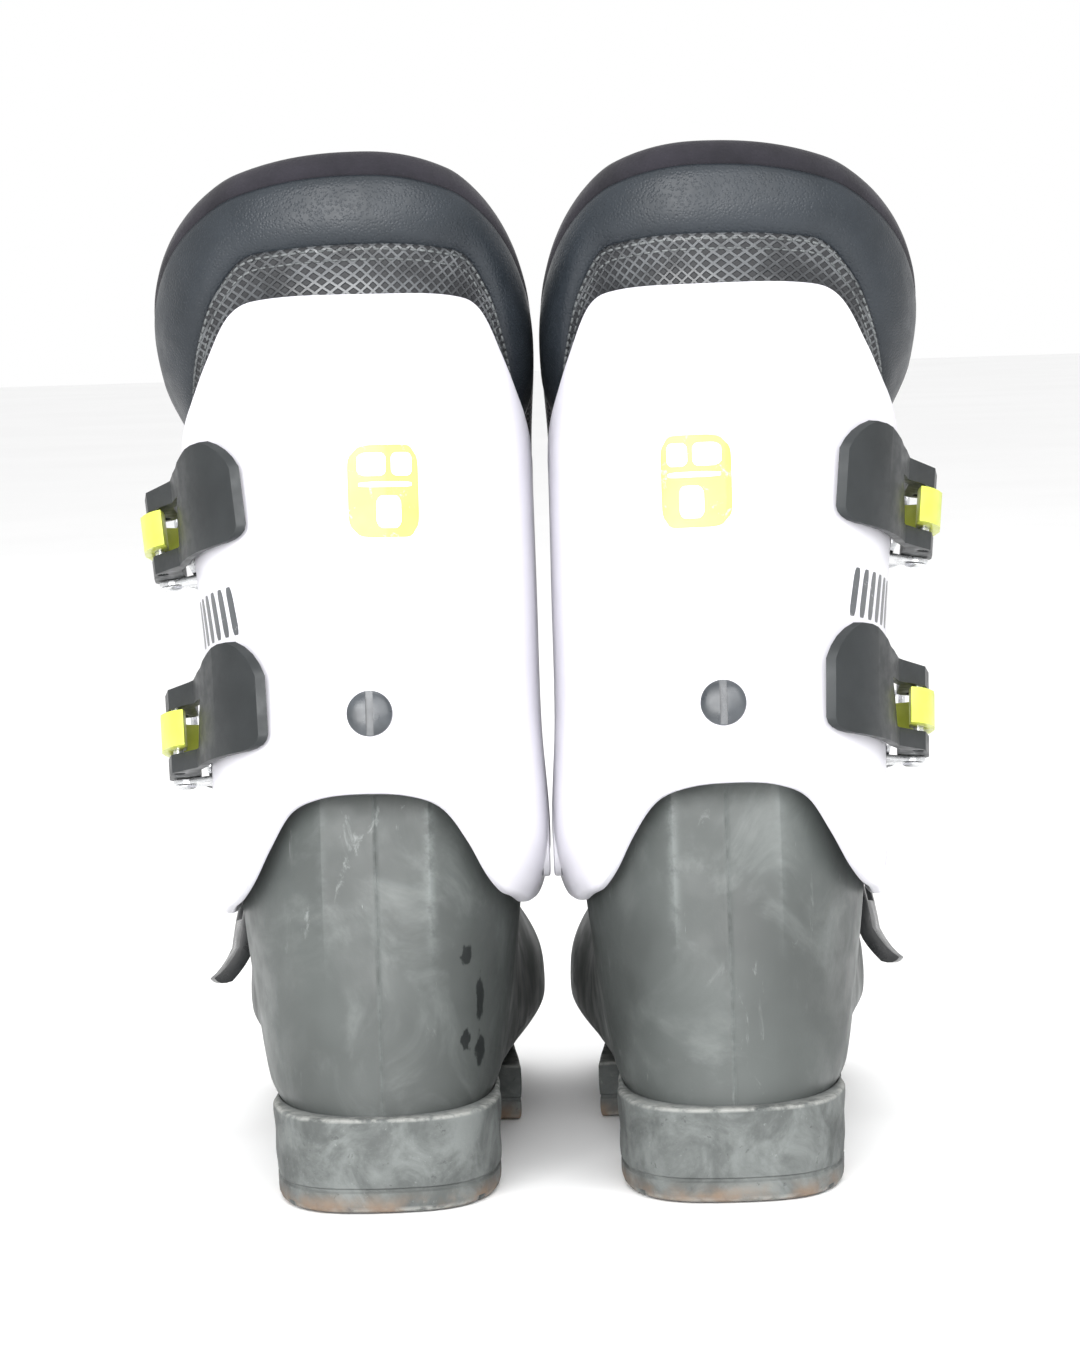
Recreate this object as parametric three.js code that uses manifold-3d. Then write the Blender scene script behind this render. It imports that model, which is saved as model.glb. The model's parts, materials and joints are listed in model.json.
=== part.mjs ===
// A pair of alpine ski boots. Each boot is a rigid lower shell on screwed sole blocks, a cuff that flexes forward on
// two ankle pivots, a soft liner with its tongue, a power strap, two cuff buckles and one instep buckle.
// Millimetres, +Z up, toes towards +Y. The origin is on the floor, midway between the boots and along the soles.
// Each boot is built with its outer side towards +X, and the left boot is the mirror image of the right one.
import * as THREE from "three";
import { mergeVertices } from "three/addons/utils/BufferGeometryUtils.js";
import Module from "manifold-3d";

const wasm = await Module();
wasm.setup();

// ---------------------------------------------------------------- driving dimensions
const SOLE_LENGTH = 285;
const BOOT_SPACING = 104; // between the two boots' centre planes
const GAP = 0.35; // clearance between pieces that touch or seat in each other

const SHELL_WALL = 4.5;
const INSTEP = 142; // from the back of the heel to the instep, where the foot meets the leg
const HEEL_WIDTH = 69;
const HEEL_HEIGHT = 28; // from the floor to the heel ledge
const HEEL_BLOCK_LENGTH = 98;
const TOE_WIDTH = 69;
const TOE_HEIGHT = 18; // from the floor to the top of the toe lug
const TOE_BLOCK_LENGTH = 136;
const BALL_SOLE_WIDTH = 79;
const SOLE_CORNER = 22;
const SOLE_DRAFT = 2; // how much each side of a sole block narrows down to the floor
const SHELL_FLOOR = 9; // underside of the lower shell

const PIVOT_FROM_HEEL = 67.5;
const PIVOT_HEIGHT = 102;
const LEAN = THREE.MathUtils.degToRad(13); // forward lean of the cuff
const CUFF_WALL = 4;
const CUFF_CLEARANCE = 2.2; // between the cuff and the lower shell at the ankle
const ANKLE_HALF_WIDTH = 50.5; // outside of the cuff at the pivots
const FLAP_GAP = 0.6; // between the cuff's two overlapping flaps

const PIVOT_HEAD_RADIUS = 12;
const PIVOT_HEAD_THICKNESS = 2.2;
const PIVOT_SHANK_RADIUS = 5;

const LINER_WALL = 7;
const LINER_GAP = 1.1;
const LINER_SOLE = 5;
const BOARD_THICKNESS = 7;
const TONGUE_HALF_ANGLE = 27;
const TONGUE_TOP = 166;

const STRAP_WIDTH = 32;
const STRAP_THICKNESS = 2.4;
const STRAP_BOTTOM = 121;

const SPINE_SCREW_HEIGHT = 31;
const SPINE_SCREW_RADIUS = 6.8;

const UPPER_BUCKLE_HEIGHT = 98;
const LOWER_BUCKLE_HEIGHT = 34.5;
const UPPER_BUCKLE_ANGLE = 5; // degrees in front of the boot's outermost line
const LOWER_BUCKLE_ANGLE = 1;
const LADDER_ANGLE = 54;
const LADDER_RISE = 2; // of the ladder over the lever, up the cuff
const PIN_RADIUS = 2;
const PIN_HEIGHT = 9; // of the lever's pivot pin above the cuff
const LINK_PIN_RADIUS = 1.6;
const LINK_PIN_SET_BACK = 14; // behind the pivot pin
const LINK_TAIL = 13; // of the link behind its own pin
const SLOT_LENGTH = 36; // behind the pivot pin
const LINK_HALF_WIDTH = 5.4;
const SLOT_HALF_WIDTH = 7;
const ARM_HALF_WIDTH = 12.6; // outer face of the lever's fork arms
const EAR_THICKNESS = 1.5;
const LEVER_LENGTH = 61;
const LEVER_THICKNESS = 3;
const LEVER_CLEARANCE = 3.6; // between the closed lever's free end and the cuff
const BAIL_WIRE_RADIUS = 1.4;
const BAIL_HALF_WIDTH = 10.2;
const BAIL_PLAY = 0.65; // the wire is loose in its eye

const FOOT_SECTIONS = 15;
const FOOT_SIDES = 18;
const CUFF_COLUMNS = 41;
const CUFF_ROWS = 6;

// ---------------------------------------------------------------- small maths
const radians = THREE.MathUtils.degToRad;
const clamp01 = (t) => Math.min(1, Math.max(0, t));
const smooth = (t) => clamp01(t) ** 2 * (3 - 2 * clamp01(t));
const mix = (a, b, t) => a + (b - a) * t;
const signedPower = (v, p) => Math.sign(v) * Math.abs(v) ** p;
const steps = (n, f) => Array.from({ length: n }, (_, i) => f(n > 1 ? i / (n - 1) : 0));

// A smooth function of one variable through [x, value] pairs, level beyond both ends.
function curveThrough(pairs) {
  const slope = pairs.map((_, i) => {
    const [x0, v0] = pairs[Math.max(0, i - 1)];
    const [x1, v1] = pairs[Math.min(pairs.length - 1, i + 1)];
    return (v1 - v0) / (x1 - x0);
  });
  return (x) => {
    if (x <= pairs[0][0]) return pairs[0][1];
    const i = pairs.findIndex(([px]) => px >= x);
    if (i < 0) return pairs[pairs.length - 1][1];
    const [x0, v0] = pairs[i - 1];
    const [x1, v1] = pairs[i];
    const w = x1 - x0;
    const t = (x - x0) / w;
    const h = t * t * (3 - 2 * t);
    return v0 * (1 - h) + v1 * h + w * (slope[i - 1] * t * (1 - t) ** 2 - slope[i] * t * t * (1 - t));
  };
}

// ---------------------------------------------------------------- meshes and solids
// A closed geometry from points and triangles, turned so that its faces point out.
function closedGeometry(points, triangles) {
  const volume = triangles.reduce(
    (sum, [a, b, c]) => sum + points[a].dot(new THREE.Vector3().crossVectors(points[b], points[c])),
    0,
  );
  const index = volume < 0 ? triangles.map(([a, b, c]) => [a, c, b]) : triangles;
  const geometry = new THREE.BufferGeometry();
  geometry.setAttribute("position", new THREE.Float32BufferAttribute(points.flatMap((p) => p.toArray()), 3));
  geometry.setIndex(index.flat());
  return geometry;
}

// Joins a stack of closed rings, and closes each end to the ring's centre.
function loft(rings) {
  const count = rings[0].length;
  const points = rings.flat();
  const triangles = [];
  for (let r = 0; r + 1 < rings.length; r++) {
    for (let i = 0; i < count; i++) {
      const a = r * count + i;
      const b = r * count + ((i + 1) % count);
      triangles.push([a, b, a + count], [b, b + count, a + count]);
    }
  }
  for (const r of [0, rings.length - 1]) {
    const centre = rings[r].reduce((s, p) => s.add(p), new THREE.Vector3()).divideScalar(count);
    points.push(centre);
    for (let i = 0; i < count; i++) {
      const edge = [r * count + i, r * count + ((i + 1) % count)];
      triangles.push(r ? [edge[0], edge[1], points.length - 1] : [edge[1], edge[0], points.length - 1]);
    }
  }
  return closedGeometry(points, triangles);
}

// A curved sheet between two grids of points, [row][column], that are open along both directions.
function sheet(outer, inner) {
  const rows = outer.length;
  const columns = outer[0].length;
  const points = [...outer.flat(), ...inner.flat()];
  const at = (side, r, c) => side * rows * columns + r * columns + c;
  const triangles = [];
  const quad = (a, b, c, d) => triangles.push([a, b, c], [a, c, d]);
  for (let r = 0; r + 1 < rows; r++) {
    for (let c = 0; c + 1 < columns; c++) {
      quad(at(0, r, c), at(0, r, c + 1), at(0, r + 1, c + 1), at(0, r + 1, c));
      quad(at(1, r + 1, c), at(1, r + 1, c + 1), at(1, r, c + 1), at(1, r, c));
    }
    quad(at(0, r + 1, 0), at(1, r + 1, 0), at(1, r, 0), at(0, r, 0));
    quad(at(0, r, columns - 1), at(1, r, columns - 1), at(1, r + 1, columns - 1), at(0, r + 1, columns - 1));
  }
  for (let c = 0; c + 1 < columns; c++) {
    quad(at(0, 0, c + 1), at(0, 0, c), at(1, 0, c), at(1, 0, c + 1));
    quad(at(0, rows - 1, c), at(0, rows - 1, c + 1), at(1, rows - 1, c + 1), at(1, rows - 1, c));
  }
  return closedGeometry(points, triangles);
}

// A manifold-3d solid of a closed geometry, for cutting and joining.
function solid(geometry) {
  const bare = new THREE.BufferGeometry();
  bare.setAttribute("position", geometry.getAttribute("position"));
  bare.setIndex(geometry.index);
  const merged = mergeVertices(bare, 1e-3);
  return new wasm.Manifold(
    new wasm.Mesh({
      numProp: 3,
      vertProperties: new Float32Array(merged.attributes.position.array),
      triVerts: new Uint32Array(merged.index.array),
    }),
  );
}

function geometryOf(made) {
  const mesh = made.getMesh();
  const geometry = new THREE.BufferGeometry();
  geometry.setAttribute("position", new THREE.BufferAttribute(mesh.vertProperties, 3));
  geometry.setIndex(new THREE.BufferAttribute(mesh.triVerts, 1));
  return geometry;
}

// A cylinder from one point to another.
function rod(from, to, radius, sides = 12, endRadius = radius) {
  const axis = new THREE.Vector3().subVectors(to, from);
  const geometry = new THREE.CylinderGeometry(endRadius, radius, axis.length(), sides);
  const turn = new THREE.Quaternion().setFromUnitVectors(new THREE.Vector3(0, 1, 0), axis.clone().normalize());
  geometry.applyQuaternion(turn);
  const middle = new THREE.Vector3().addVectors(from, to).multiplyScalar(0.5);
  return solid(geometry.translate(...middle.toArray()));
}

function box(min, max) {
  const size = max.map((v, i) => v - min[i]);
  const geometry = new THREE.BoxGeometry(...size);
  return solid(geometry.translate(...min.map((v, i) => v + size[i] / 2)));
}

// A closed outline pushed through a depth along its third axis, from `low` to `high`.
function prism(outline, low, high) {
  const shape = outline instanceof THREE.Shape ? outline : new THREE.Shape(outline.map(([a, b]) => new THREE.Vector2(a, b)));
  const geometry = new THREE.ExtrudeGeometry(shape, { depth: high - low, bevelEnabled: false, curveSegments: 4 });
  return geometry.translate(0, 0, low);
}

// ---------------------------------------------------------------- the foot's form
// Lengths along the foot are measured from the back of the heel. A station is 0 at the heel, 1 at the instep and
// 2 at the toe, so a longer sole only stretches the forefoot.
const along = (station) =>
  station <= 1 ? station * INSTEP : INSTEP + (station - 1) * (SOLE_LENGTH - INSTEP);
const stationOf = (s) => (s <= INSTEP ? s / INSTEP : 1 + (s - INSTEP) / (SOLE_LENGTH - INSTEP));
const toY = (s) => s - SOLE_LENGTH / 2;
const PIVOT_Y = toY(PIVOT_FROM_HEEL);

// Half widths of the lower shell by station, at the floor, at the ball of the foot and at the ankle.
const HALF_WIDTHS = {
  outer: {
    floor: curveThrough([[0, 31], [0.3, 34.5], [0.6, 35.5], [1, 38], [1.35, 41], [1.6, 39], [1.8, 32], [1.93, 20]]),
    ball: curveThrough([[0, 34], [0.3, 38], [0.6, 40], [1, 45], [1.3, 50], [1.5, 49.5], [1.7, 43], [1.84, 33], [1.93, 20]]),
    ankle: curveThrough([[0, 0.78], [0.35, 0.95], [0.5, 1], [0.65, 0.98], [0.8, 0.88], [1, 0.74]]),
  },
  inner: {
    floor: curveThrough([[0, 31], [0.3, 34], [0.6, 35], [1, 38.5], [1.35, 42.5], [1.6, 39.5], [1.8, 32], [1.93, 20]]),
    ball: curveThrough([[0, 34], [0.3, 36.5], [0.6, 38], [1, 43], [1.35, 47.5], [1.55, 47], [1.7, 43], [1.84, 33], [1.93, 20]]),
    ankle: curveThrough([[0, 0.78], [0.35, 0.92], [0.5, 0.97], [0.65, 0.96], [0.8, 0.88], [1, 0.74]]),
  },
};
const WELT_HEIGHT = 19; // the shell keeps its floor width up to here
const BALL_HEIGHT = 34;
const ANKLE_SHELL_HALF_WIDTH = ANKLE_HALF_WIDTH - CUFF_WALL - CUFF_CLEARANCE;

function shellHalfWidth(s, z, side) {
  const widths = side > 0 ? HALF_WIDTHS.outer : HALF_WIDTHS.inner;
  const station = stationOf(s);
  const ball = widths.ball(station);
  const forward = smooth((station - 1) / 0.3);
  const ankle = mix(widths.ankle(station) * ANKLE_SHELL_HALF_WIDTH, 0.87 * ball, forward);
  if (z < BALL_HEIGHT) return mix(widths.floor(station), ball, smooth((z - WELT_HEIGHT) / (BALL_HEIGHT - WELT_HEIGHT)));
  return mix(ball, ankle, smooth((z - BALL_HEIGHT) / (PIVOT_HEIGHT - BALL_HEIGHT)));
}

// Each section of the shell lies in a plane through a point of the top line and a point of the bottom line. The planes
// stand upright at the toe and fan round the instep, until the last one lies nearly level at the shell's rim.
// [length of top point, height of top point, length of bottom point, height of bottom point]
const f = along;
const ANKLE_RISE = PIVOT_HEIGHT - 102; // the shell above the instep follows the pivot up and down
const SECTIONS = [
  [f(1.9), 33, f(1.895), 15],
  [f(1.875), 50, f(1.87), SHELL_FLOOR + 1],
  [f(1.78), 62, f(1.77), SHELL_FLOOR],
  [f(1.62), 70, f(1.6), SHELL_FLOOR],
  [f(1.44), 78, f(1.4), SHELL_FLOOR],
  [f(1.27), 88 + 0.5 * ANKLE_RISE, f(1.18), SHELL_FLOOR],
  [f(1.12), 101 + 0.8 * ANKLE_RISE, f(0.93), SHELL_FLOOR],
  [INSTEP + 3, 113 + ANKLE_RISE, f(0.66), SHELL_FLOOR],
  [INSTEP, 121 + ANKLE_RISE, f(0.4), SHELL_FLOOR],
  [INSTEP - 2, 127 + ANKLE_RISE, 24, SHELL_FLOOR],
  [INSTEP - 3, 130 + ANKLE_RISE, 9, 17],
  [INSTEP - 4, 133 + ANKLE_RISE, 7, 42 + 0.4 * ANKLE_RISE],
  [INSTEP - 6, 137 + ANKLE_RISE, 8, 70 + 0.7 * ANKLE_RISE],
  [INSTEP - 8.5, 141 + ANKLE_RISE, 10.5, 98 + ANKLE_RISE],
  [INSTEP - 11.5, 145 + ANKLE_RISE, 17, 128 + ANKLE_RISE],
];
const TOP_LINE = new THREE.CatmullRomCurve3(SECTIONS.map(([s, z]) => new THREE.Vector3(0, s, z)));
const BOTTOM_LINE = new THREE.CatmullRomCurve3(SECTIONS.map(([, , s, z]) => new THREE.Vector3(0, s, z)));

// How far a point of a line moves along `direction` for the line to be offset by `inset`.
function offsetAlong(line, t, direction, inset) {
  const tangent = line.getTangent(t);
  const facing = Math.abs(tangent.y * direction.z - tangent.z * direction.y);
  return inset / Math.max(0.6, facing);
}

// The closed section at `t`, from 0 at the toe to 1 at the rim, moved in by `inset`.
function shellRing(t, inset, sides = FOOT_SIDES) {
  const top = TOP_LINE.getPoint(t);
  const bottom = BOTTOM_LINE.getPoint(t);
  const upwards = new THREE.Vector3().subVectors(top, bottom).normalize();
  top.addScaledVector(upwards, -offsetAlong(TOP_LINE, t, upwards, inset));
  bottom.addScaledVector(upwards, offsetAlong(BOTTOM_LINE, t, upwards, inset));
  const toeShift = inset * smooth(1 - t / 0.3);
  const heelShare = smooth((t - 0.55) / 0.25);
  return steps(sides + 1, (u) => {
    const up = Math.cos(u * 2 * Math.PI);
    const across = Math.sin(u * 2 * Math.PI);
    const squareness = up > 0 ? 2.25 : mix(3.1, 2.4, heelShare);
    const share = (1 + signedPower(up, 2 / squareness)) / 2;
    const at = new THREE.Vector3().lerpVectors(bottom, top, share);
    const width = Math.max(2, shellHalfWidth(at.y, at.z, Math.sign(across)) - inset);
    at.x = width * signedPower(across, 2 / squareness);
    at.y = toY(at.y - toeShift);
    return at;
  }).slice(0, sides);
}

// The shell's outside moved in by `inset`, from the toe to the section numbered `last`.
const shellRings = (inset, last) =>
  Array.from({ length: last }, (_, i) => shellRing(i / (FOOT_SECTIONS - 1), inset));
const shellForm = (inset, last = FOOT_SECTIONS) => loft(shellRings(inset, last));

// The hollow inside that form, carried on past its last section so that it opens the top.
function shellHollow(inset, last = FOOT_SECTIONS) {
  const rings = shellRings(inset, last);
  const rim = rings[last - 1];
  return solid(loft([...rings, rim.map((p) => p.clone().add(new THREE.Vector3(0, 6, 30)))]));
}

// ---------------------------------------------------------------- the leg's form
// The cuff, the upper liner, the tongue and the strap are built in the cuff's own frame: its origin is on the ankle
// pivot's axis, and its Z runs up the leaning leg. Angles are 0 on the outer side, 90 in front, 180 on the inner side
// and 270 at the back. Half sizes are those of the cuff's outside.
const LEG = {
  outer: curveThrough([[-26, 48], [0, ANKLE_HALF_WIDTH], [38, ANKLE_HALF_WIDTH + 1], [75, 54], [130, 60], [160, 66.5], [200, 68.5]]),
  inner: curveThrough([[-26, 43.5], [-14, 48.2], [0, ANKLE_HALF_WIDTH + 1], [38, 49.8], [75, 49.6], [130, 49.6], [160, 51.4], [200, 51.4]]),
  front: curveThrough([[-26, 72], [44, 72.5], [80, 67], [130, 63], [160, 64], [200, 66]]),
  back: curveThrough([[-26, 62], [8, 65.5], [40, 64], [80, 62], [130, 62], [160, 64.5], [200, 67]]),
};
const LEG_SQUARENESS = 2.35;

function legPoint(angle, height, offset) {
  const c = Math.cos(radians(angle));
  const s = Math.sin(radians(angle));
  const across = (c > 0 ? LEG.outer(height) : LEG.inner(height)) + offset;
  const deep = (s > 0 ? LEG.front(height) : LEG.back(height)) + offset;
  return new THREE.Vector3(
    across * signedPower(c, 2 / LEG_SQUARENESS),
    deep * signedPower(s, 2 / LEG_SQUARENESS),
    height,
  );
}

const fromBack = (angle) => Math.abs(((((angle - 270) % 360) + 540) % 360) - 180);

// Heights of the cuff's bottom and top edges, of the liner collar's edges and of its rim.
// Each edge is alike on both sides of its own middle, which is turned a little from the back towards the inner side.
const edge = (pairs, turn = 0) => {
  const [, [angle, value]] = pairs;
  const height = curveThrough([[-angle, value], ...pairs]);
  return (at) => height(fromBack(at + turn));
};
const SPOILER_TURN = 4;
const ARCH_TURN = 3; // of the heel's arch, towards the outer side
const cuffBottom = edge(
  [[0, 7.5], [13, 6.5], [24, 3], [35, -6.5], [46, -15], [57, -19.5], [67, -20.5], [86, -20.5], [107, -12],
    [130, 13], [151, 33], [176, 44]],
  -ARCH_TURN,
);
const cuffTop = edge([[0, 157.5], [30, 157.5], [38, 154.5], [50, 143], [66, 131], [90, 121], [120, 126], [150, 132], [180, 134]], SPOILER_TURN);
const collarBottom = edge([[0, 29], [90, 48], [180, 84]]);
const collarTop = edge([[0, 201], [30, 197], [45, 191], [60, 182.5], [75, 172], [90, 162], [120, 152], [150, 147]]);

// The cuff is one band that wraps a little more than once round the leg. Its inner flap ends on the inner side in
// front, and the flap from the inner side lies over it and ends on the outer side in front.
const INNER_FLAP_END = 126;
const OUTER_FLAP_END = 36 - 360;
const FLAP_STEP = CUFF_WALL + FLAP_GAP;
const flapOffset = (running) => FLAP_STEP * smooth((-178 - running) / 44);

function cuffSolid(outwards, inwards) {
  const grid = (offset) =>
    steps(CUFF_ROWS, (v) =>
      steps(CUFF_COLUMNS, (u) => {
        const running = mix(INNER_FLAP_END, OUTER_FLAP_END, u);
        const height = mix(cuffBottom(running), cuffTop(running), v);
        return legPoint(running, height, flapOffset(running) + offset);
      }),
    );
  return solid(sheet(grid(outwards), grid(inwards)));
}

// ---------------------------------------------------------------- parts of the lower shell
const pivotAxis = (from, to, y, z, radius) => rod(new THREE.Vector3(from, y, z), new THREE.Vector3(to, y, z), radius, 16);

const makeLowerShell = () =>
  solid(shellForm(0))
    .subtract(shellHollow(SHELL_WALL))
    .subtract(pivotAxis(-BOOT_SPACING, BOOT_SPACING, PIVOT_Y, PIVOT_HEIGHT, PIVOT_SHANK_RADIUS + GAP));

// Outline of a sole block seen from above, with rounded corners at its free end.
function soleOutline(length, endWidth, innerWidth, towards) {
  const half = endWidth / 2;
  const inner = innerWidth / 2;
  const end = towards * (SOLE_LENGTH / 2);
  const start = end - towards * length;
  const shape = new THREE.Shape();
  shape.moveTo(inner, start);
  shape.lineTo(half, end - towards * 2 * SOLE_CORNER);
  shape.quadraticCurveTo(half - 1, end - towards * 6, half - SOLE_CORNER, end - towards * 1.2);
  shape.quadraticCurveTo(0, end + towards * 1.2, SOLE_CORNER - half, end - towards * 1.2);
  shape.quadraticCurveTo(1 - half, end - towards * 6, -half, end - towards * 2 * SOLE_CORNER);
  shape.lineTo(-inner, start);
  return shape.getPoints(6).map((p) => [p.x, p.y]);
}

// A sole block that narrows a little down to the floor, hollowed to seat the shell.
function makeSoleBlock(outline, height) {
  const middle = outline.reduce((sum, [, y]) => sum + y, 0) / outline.length;
  const ring = (z, draft) =>
    outline.map(([x, y]) => new THREE.Vector3(x - Math.sign(x) * draft, y - 0.5 * Math.sign(y - middle) * draft, z));
  const block = solid(loft([ring(0, SOLE_DRAFT), ring(1.5, 0.6 * SOLE_DRAFT), ring(height, 0)]));
  return block.subtract(solid(shellForm(-GAP)));
}

const heelOutline = soleOutline(HEEL_BLOCK_LENGTH, HEEL_WIDTH, HEEL_WIDTH - 4, -1);
const toeOutline = soleOutline(TOE_BLOCK_LENGTH, TOE_WIDTH, BALL_SOLE_WIDTH, 1);

const BOARD_TOP = SHELL_FLOOR + SHELL_WALL + BOARD_THICKNESS;
const LINER_SECTIONS = FOOT_SECTIONS - 1;
const above = (z) => box([-100, -300, z], [100, 300, 300]);

const makeBootBoard = () => solid(shellForm(SHELL_WALL + GAP, LINER_SECTIONS)).subtract(above(BOARD_TOP));

function makeLinerFoot() {
  const outer = SHELL_WALL + LINER_GAP;
  const outside = solid(shellForm(outer, LINER_SECTIONS)).intersect(above(BOARD_TOP + GAP));
  const hollow = shellHollow(outer + LINER_WALL, LINER_SECTIONS);
  return outside.subtract(hollow.intersect(above(BOARD_TOP + GAP + LINER_SOLE)));
}

// ---------------------------------------------------------------- parts of the cuff
function makeCuff() {
  const seatDepth = PIVOT_HEAD_THICKNESS + GAP;
  const band = cuffSolid(0, -CUFF_WALL);
  const reach = BOOT_SPACING;
  return band
    .subtract(pivotAxis(-reach, reach, 0, 0, PIVOT_SHANK_RADIUS + GAP))
    .subtract(pivotAxis(LEG.outer(0) - seatDepth, reach, 0, 0, PIVOT_HEAD_RADIUS + GAP))
    .subtract(pivotAxis(-reach, seatDepth - LEG.inner(0), 0, 0, PIVOT_HEAD_RADIUS + GAP))
    .subtract(spineAxis(SPINE_SCREW_RADIUS - 2.4 + GAP, 40, 90));
}

// A pivot's broad head is let into the cuff, and its shank runs through the cuff and the shell's wall.
function makePivot(side) {
  const face = side > 0 ? LEG.outer(0) : -LEG.inner(0);
  const shellFace = side * (ANKLE_SHELL_HALF_WIDTH - SHELL_WALL);
  const headBack = face - side * PIVOT_HEAD_THICKNESS;
  return pivotAxis(face, headBack, 0, 0, PIVOT_HEAD_RADIUS).add(pivotAxis(face - side, shellFace, 0, 0, PIVOT_SHANK_RADIUS));
}

const spineAxis = (radius, from, to, endRadius = radius) =>
  rod(new THREE.Vector3(0, -from, SPINE_SCREW_HEIGHT), new THREE.Vector3(0, -to, SPINE_SCREW_HEIGHT), radius, 16, endRadius);

function makeSpineScrew() {
  const face = LEG.back(SPINE_SCREW_HEIGHT) + GAP;
  const head = spineAxis(SPINE_SCREW_RADIUS, face, face + 2.6, SPINE_SCREW_RADIUS - 1.6);
  const slot = box([-1.2, -face - 4, SPINE_SCREW_HEIGHT - 9], [1.2, -face - 1.3, SPINE_SCREW_HEIGHT + 9]);
  const shank = spineAxis(SPINE_SCREW_RADIUS - 2.4, face - CUFF_WALL - 0.5, face + 0.5);
  return head.subtract(slot).add(shank);
}

// A soft panel round the leg between two angles, which follows the cuff's inside and swells out above its top edge.
function makePadding(fromAngle, toAngle, columns, rows, bottom, top, wall, swell) {
  const grid = (offset) =>
    steps(rows, (v) =>
      steps(columns, (u) => {
        const angle = mix(fromAngle, toAngle, u);
        const clearOfCuff = cuffTop(angle) + 1.5;
        const height = v < 0.5 ? mix(bottom(angle), clearOfCuff, 2 * v) : mix(clearOfCuff, top(angle), 2 * v - 1);
        const rise = smooth((height - clearOfCuff) / 22);
        const thin = 1 - 0.35 * smooth((v - 0.8) / 0.2);
        return legPoint(angle, height, -CUFF_WALL - LINER_GAP + swell * rise - offset * thin);
      }),
    );
  return solid(sheet(grid(0), grid(wall)));
}

const makeCollar = () =>
  makePadding(90 - TONGUE_HALF_ANGLE - 1, TONGUE_HALF_ANGLE + 91 - 360, 25, 7, collarBottom, collarTop, LINER_WALL, 4.2);

const makeTongue = () =>
  makePadding(90 + TONGUE_HALF_ANGLE, 90 - TONGUE_HALF_ANGLE, 7, 7, (a) => collarBottom(a) + 1, () => TONGUE_TOP, LINER_WALL + 2, 6);

// The strap lies over the cuff's outer flap in front, and comes down to the cuff's side at its outer end.
function makeStrap() {
  const clear = 0.5;
  const seat = (angle) =>
    clear + (angle > 90 ? flapOffset(angle - 360) : FLAP_STEP);
  const grid = (offset) =>
    steps(3, (v) => steps(13, (u) => legPoint(mix(32, 150, u), STRAP_BOTTOM + v * STRAP_WIDTH, seat(mix(32, 150, u)) + offset)));
  return solid(sheet(grid(STRAP_THICKNESS), grid(0)));
}

// ---------------------------------------------------------------- buckles
// A buckle is built in a frame on the surface it is riveted to: X runs along the boot towards the bail, Y up the
// lever's pin, and Z out of the surface. The lever's pin crosses the frame at Z = PIN_HEIGHT.
const EAR_INSIDE = ARM_HALF_WIDTH + GAP;
const EAR_OUTSIDE = EAR_INSIDE + EAR_THICKNESS;
const LINK_PIN_Z = PIN_HEIGHT + 0.6;
const ARM_RADIUS = 5;
const HOLE_SIDES = 8;

const pinRod = (x, z, from, to, radius) =>
  rod(new THREE.Vector3(x, from, z), new THREE.Vector3(x, to, z), radius, HOLE_SIDES);

// Pushes an outline in the frame's X-Z plane through a depth along Y.
const acrossPin = (outline, low, high) => solid(prism(outline, -high, -low).rotateX(Math.PI / 2));

// How high the wall stands in the lever's frame, at most, under the lever's width and fin, at X.
function wallUnder(frame, angle, height, finHeight, x) {
  const inverse = frame.clone().invert();
  const heights = [height - ARM_HALF_WIDTH, height, height + finHeight];
  return Math.max(...heights.map((h) => {
    let near = angle + 4;
    let far = -85;
    for (let i = 0; i < 16; i++) {
      const middle = (near + far) / 2;
      if (legPoint(middle, h, 0).applyMatrix4(inverse).x > x) near = middle;
      else far = middle;
    }
    return legPoint(near, h, 0).applyMatrix4(inverse).z;
  }));
}

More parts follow.
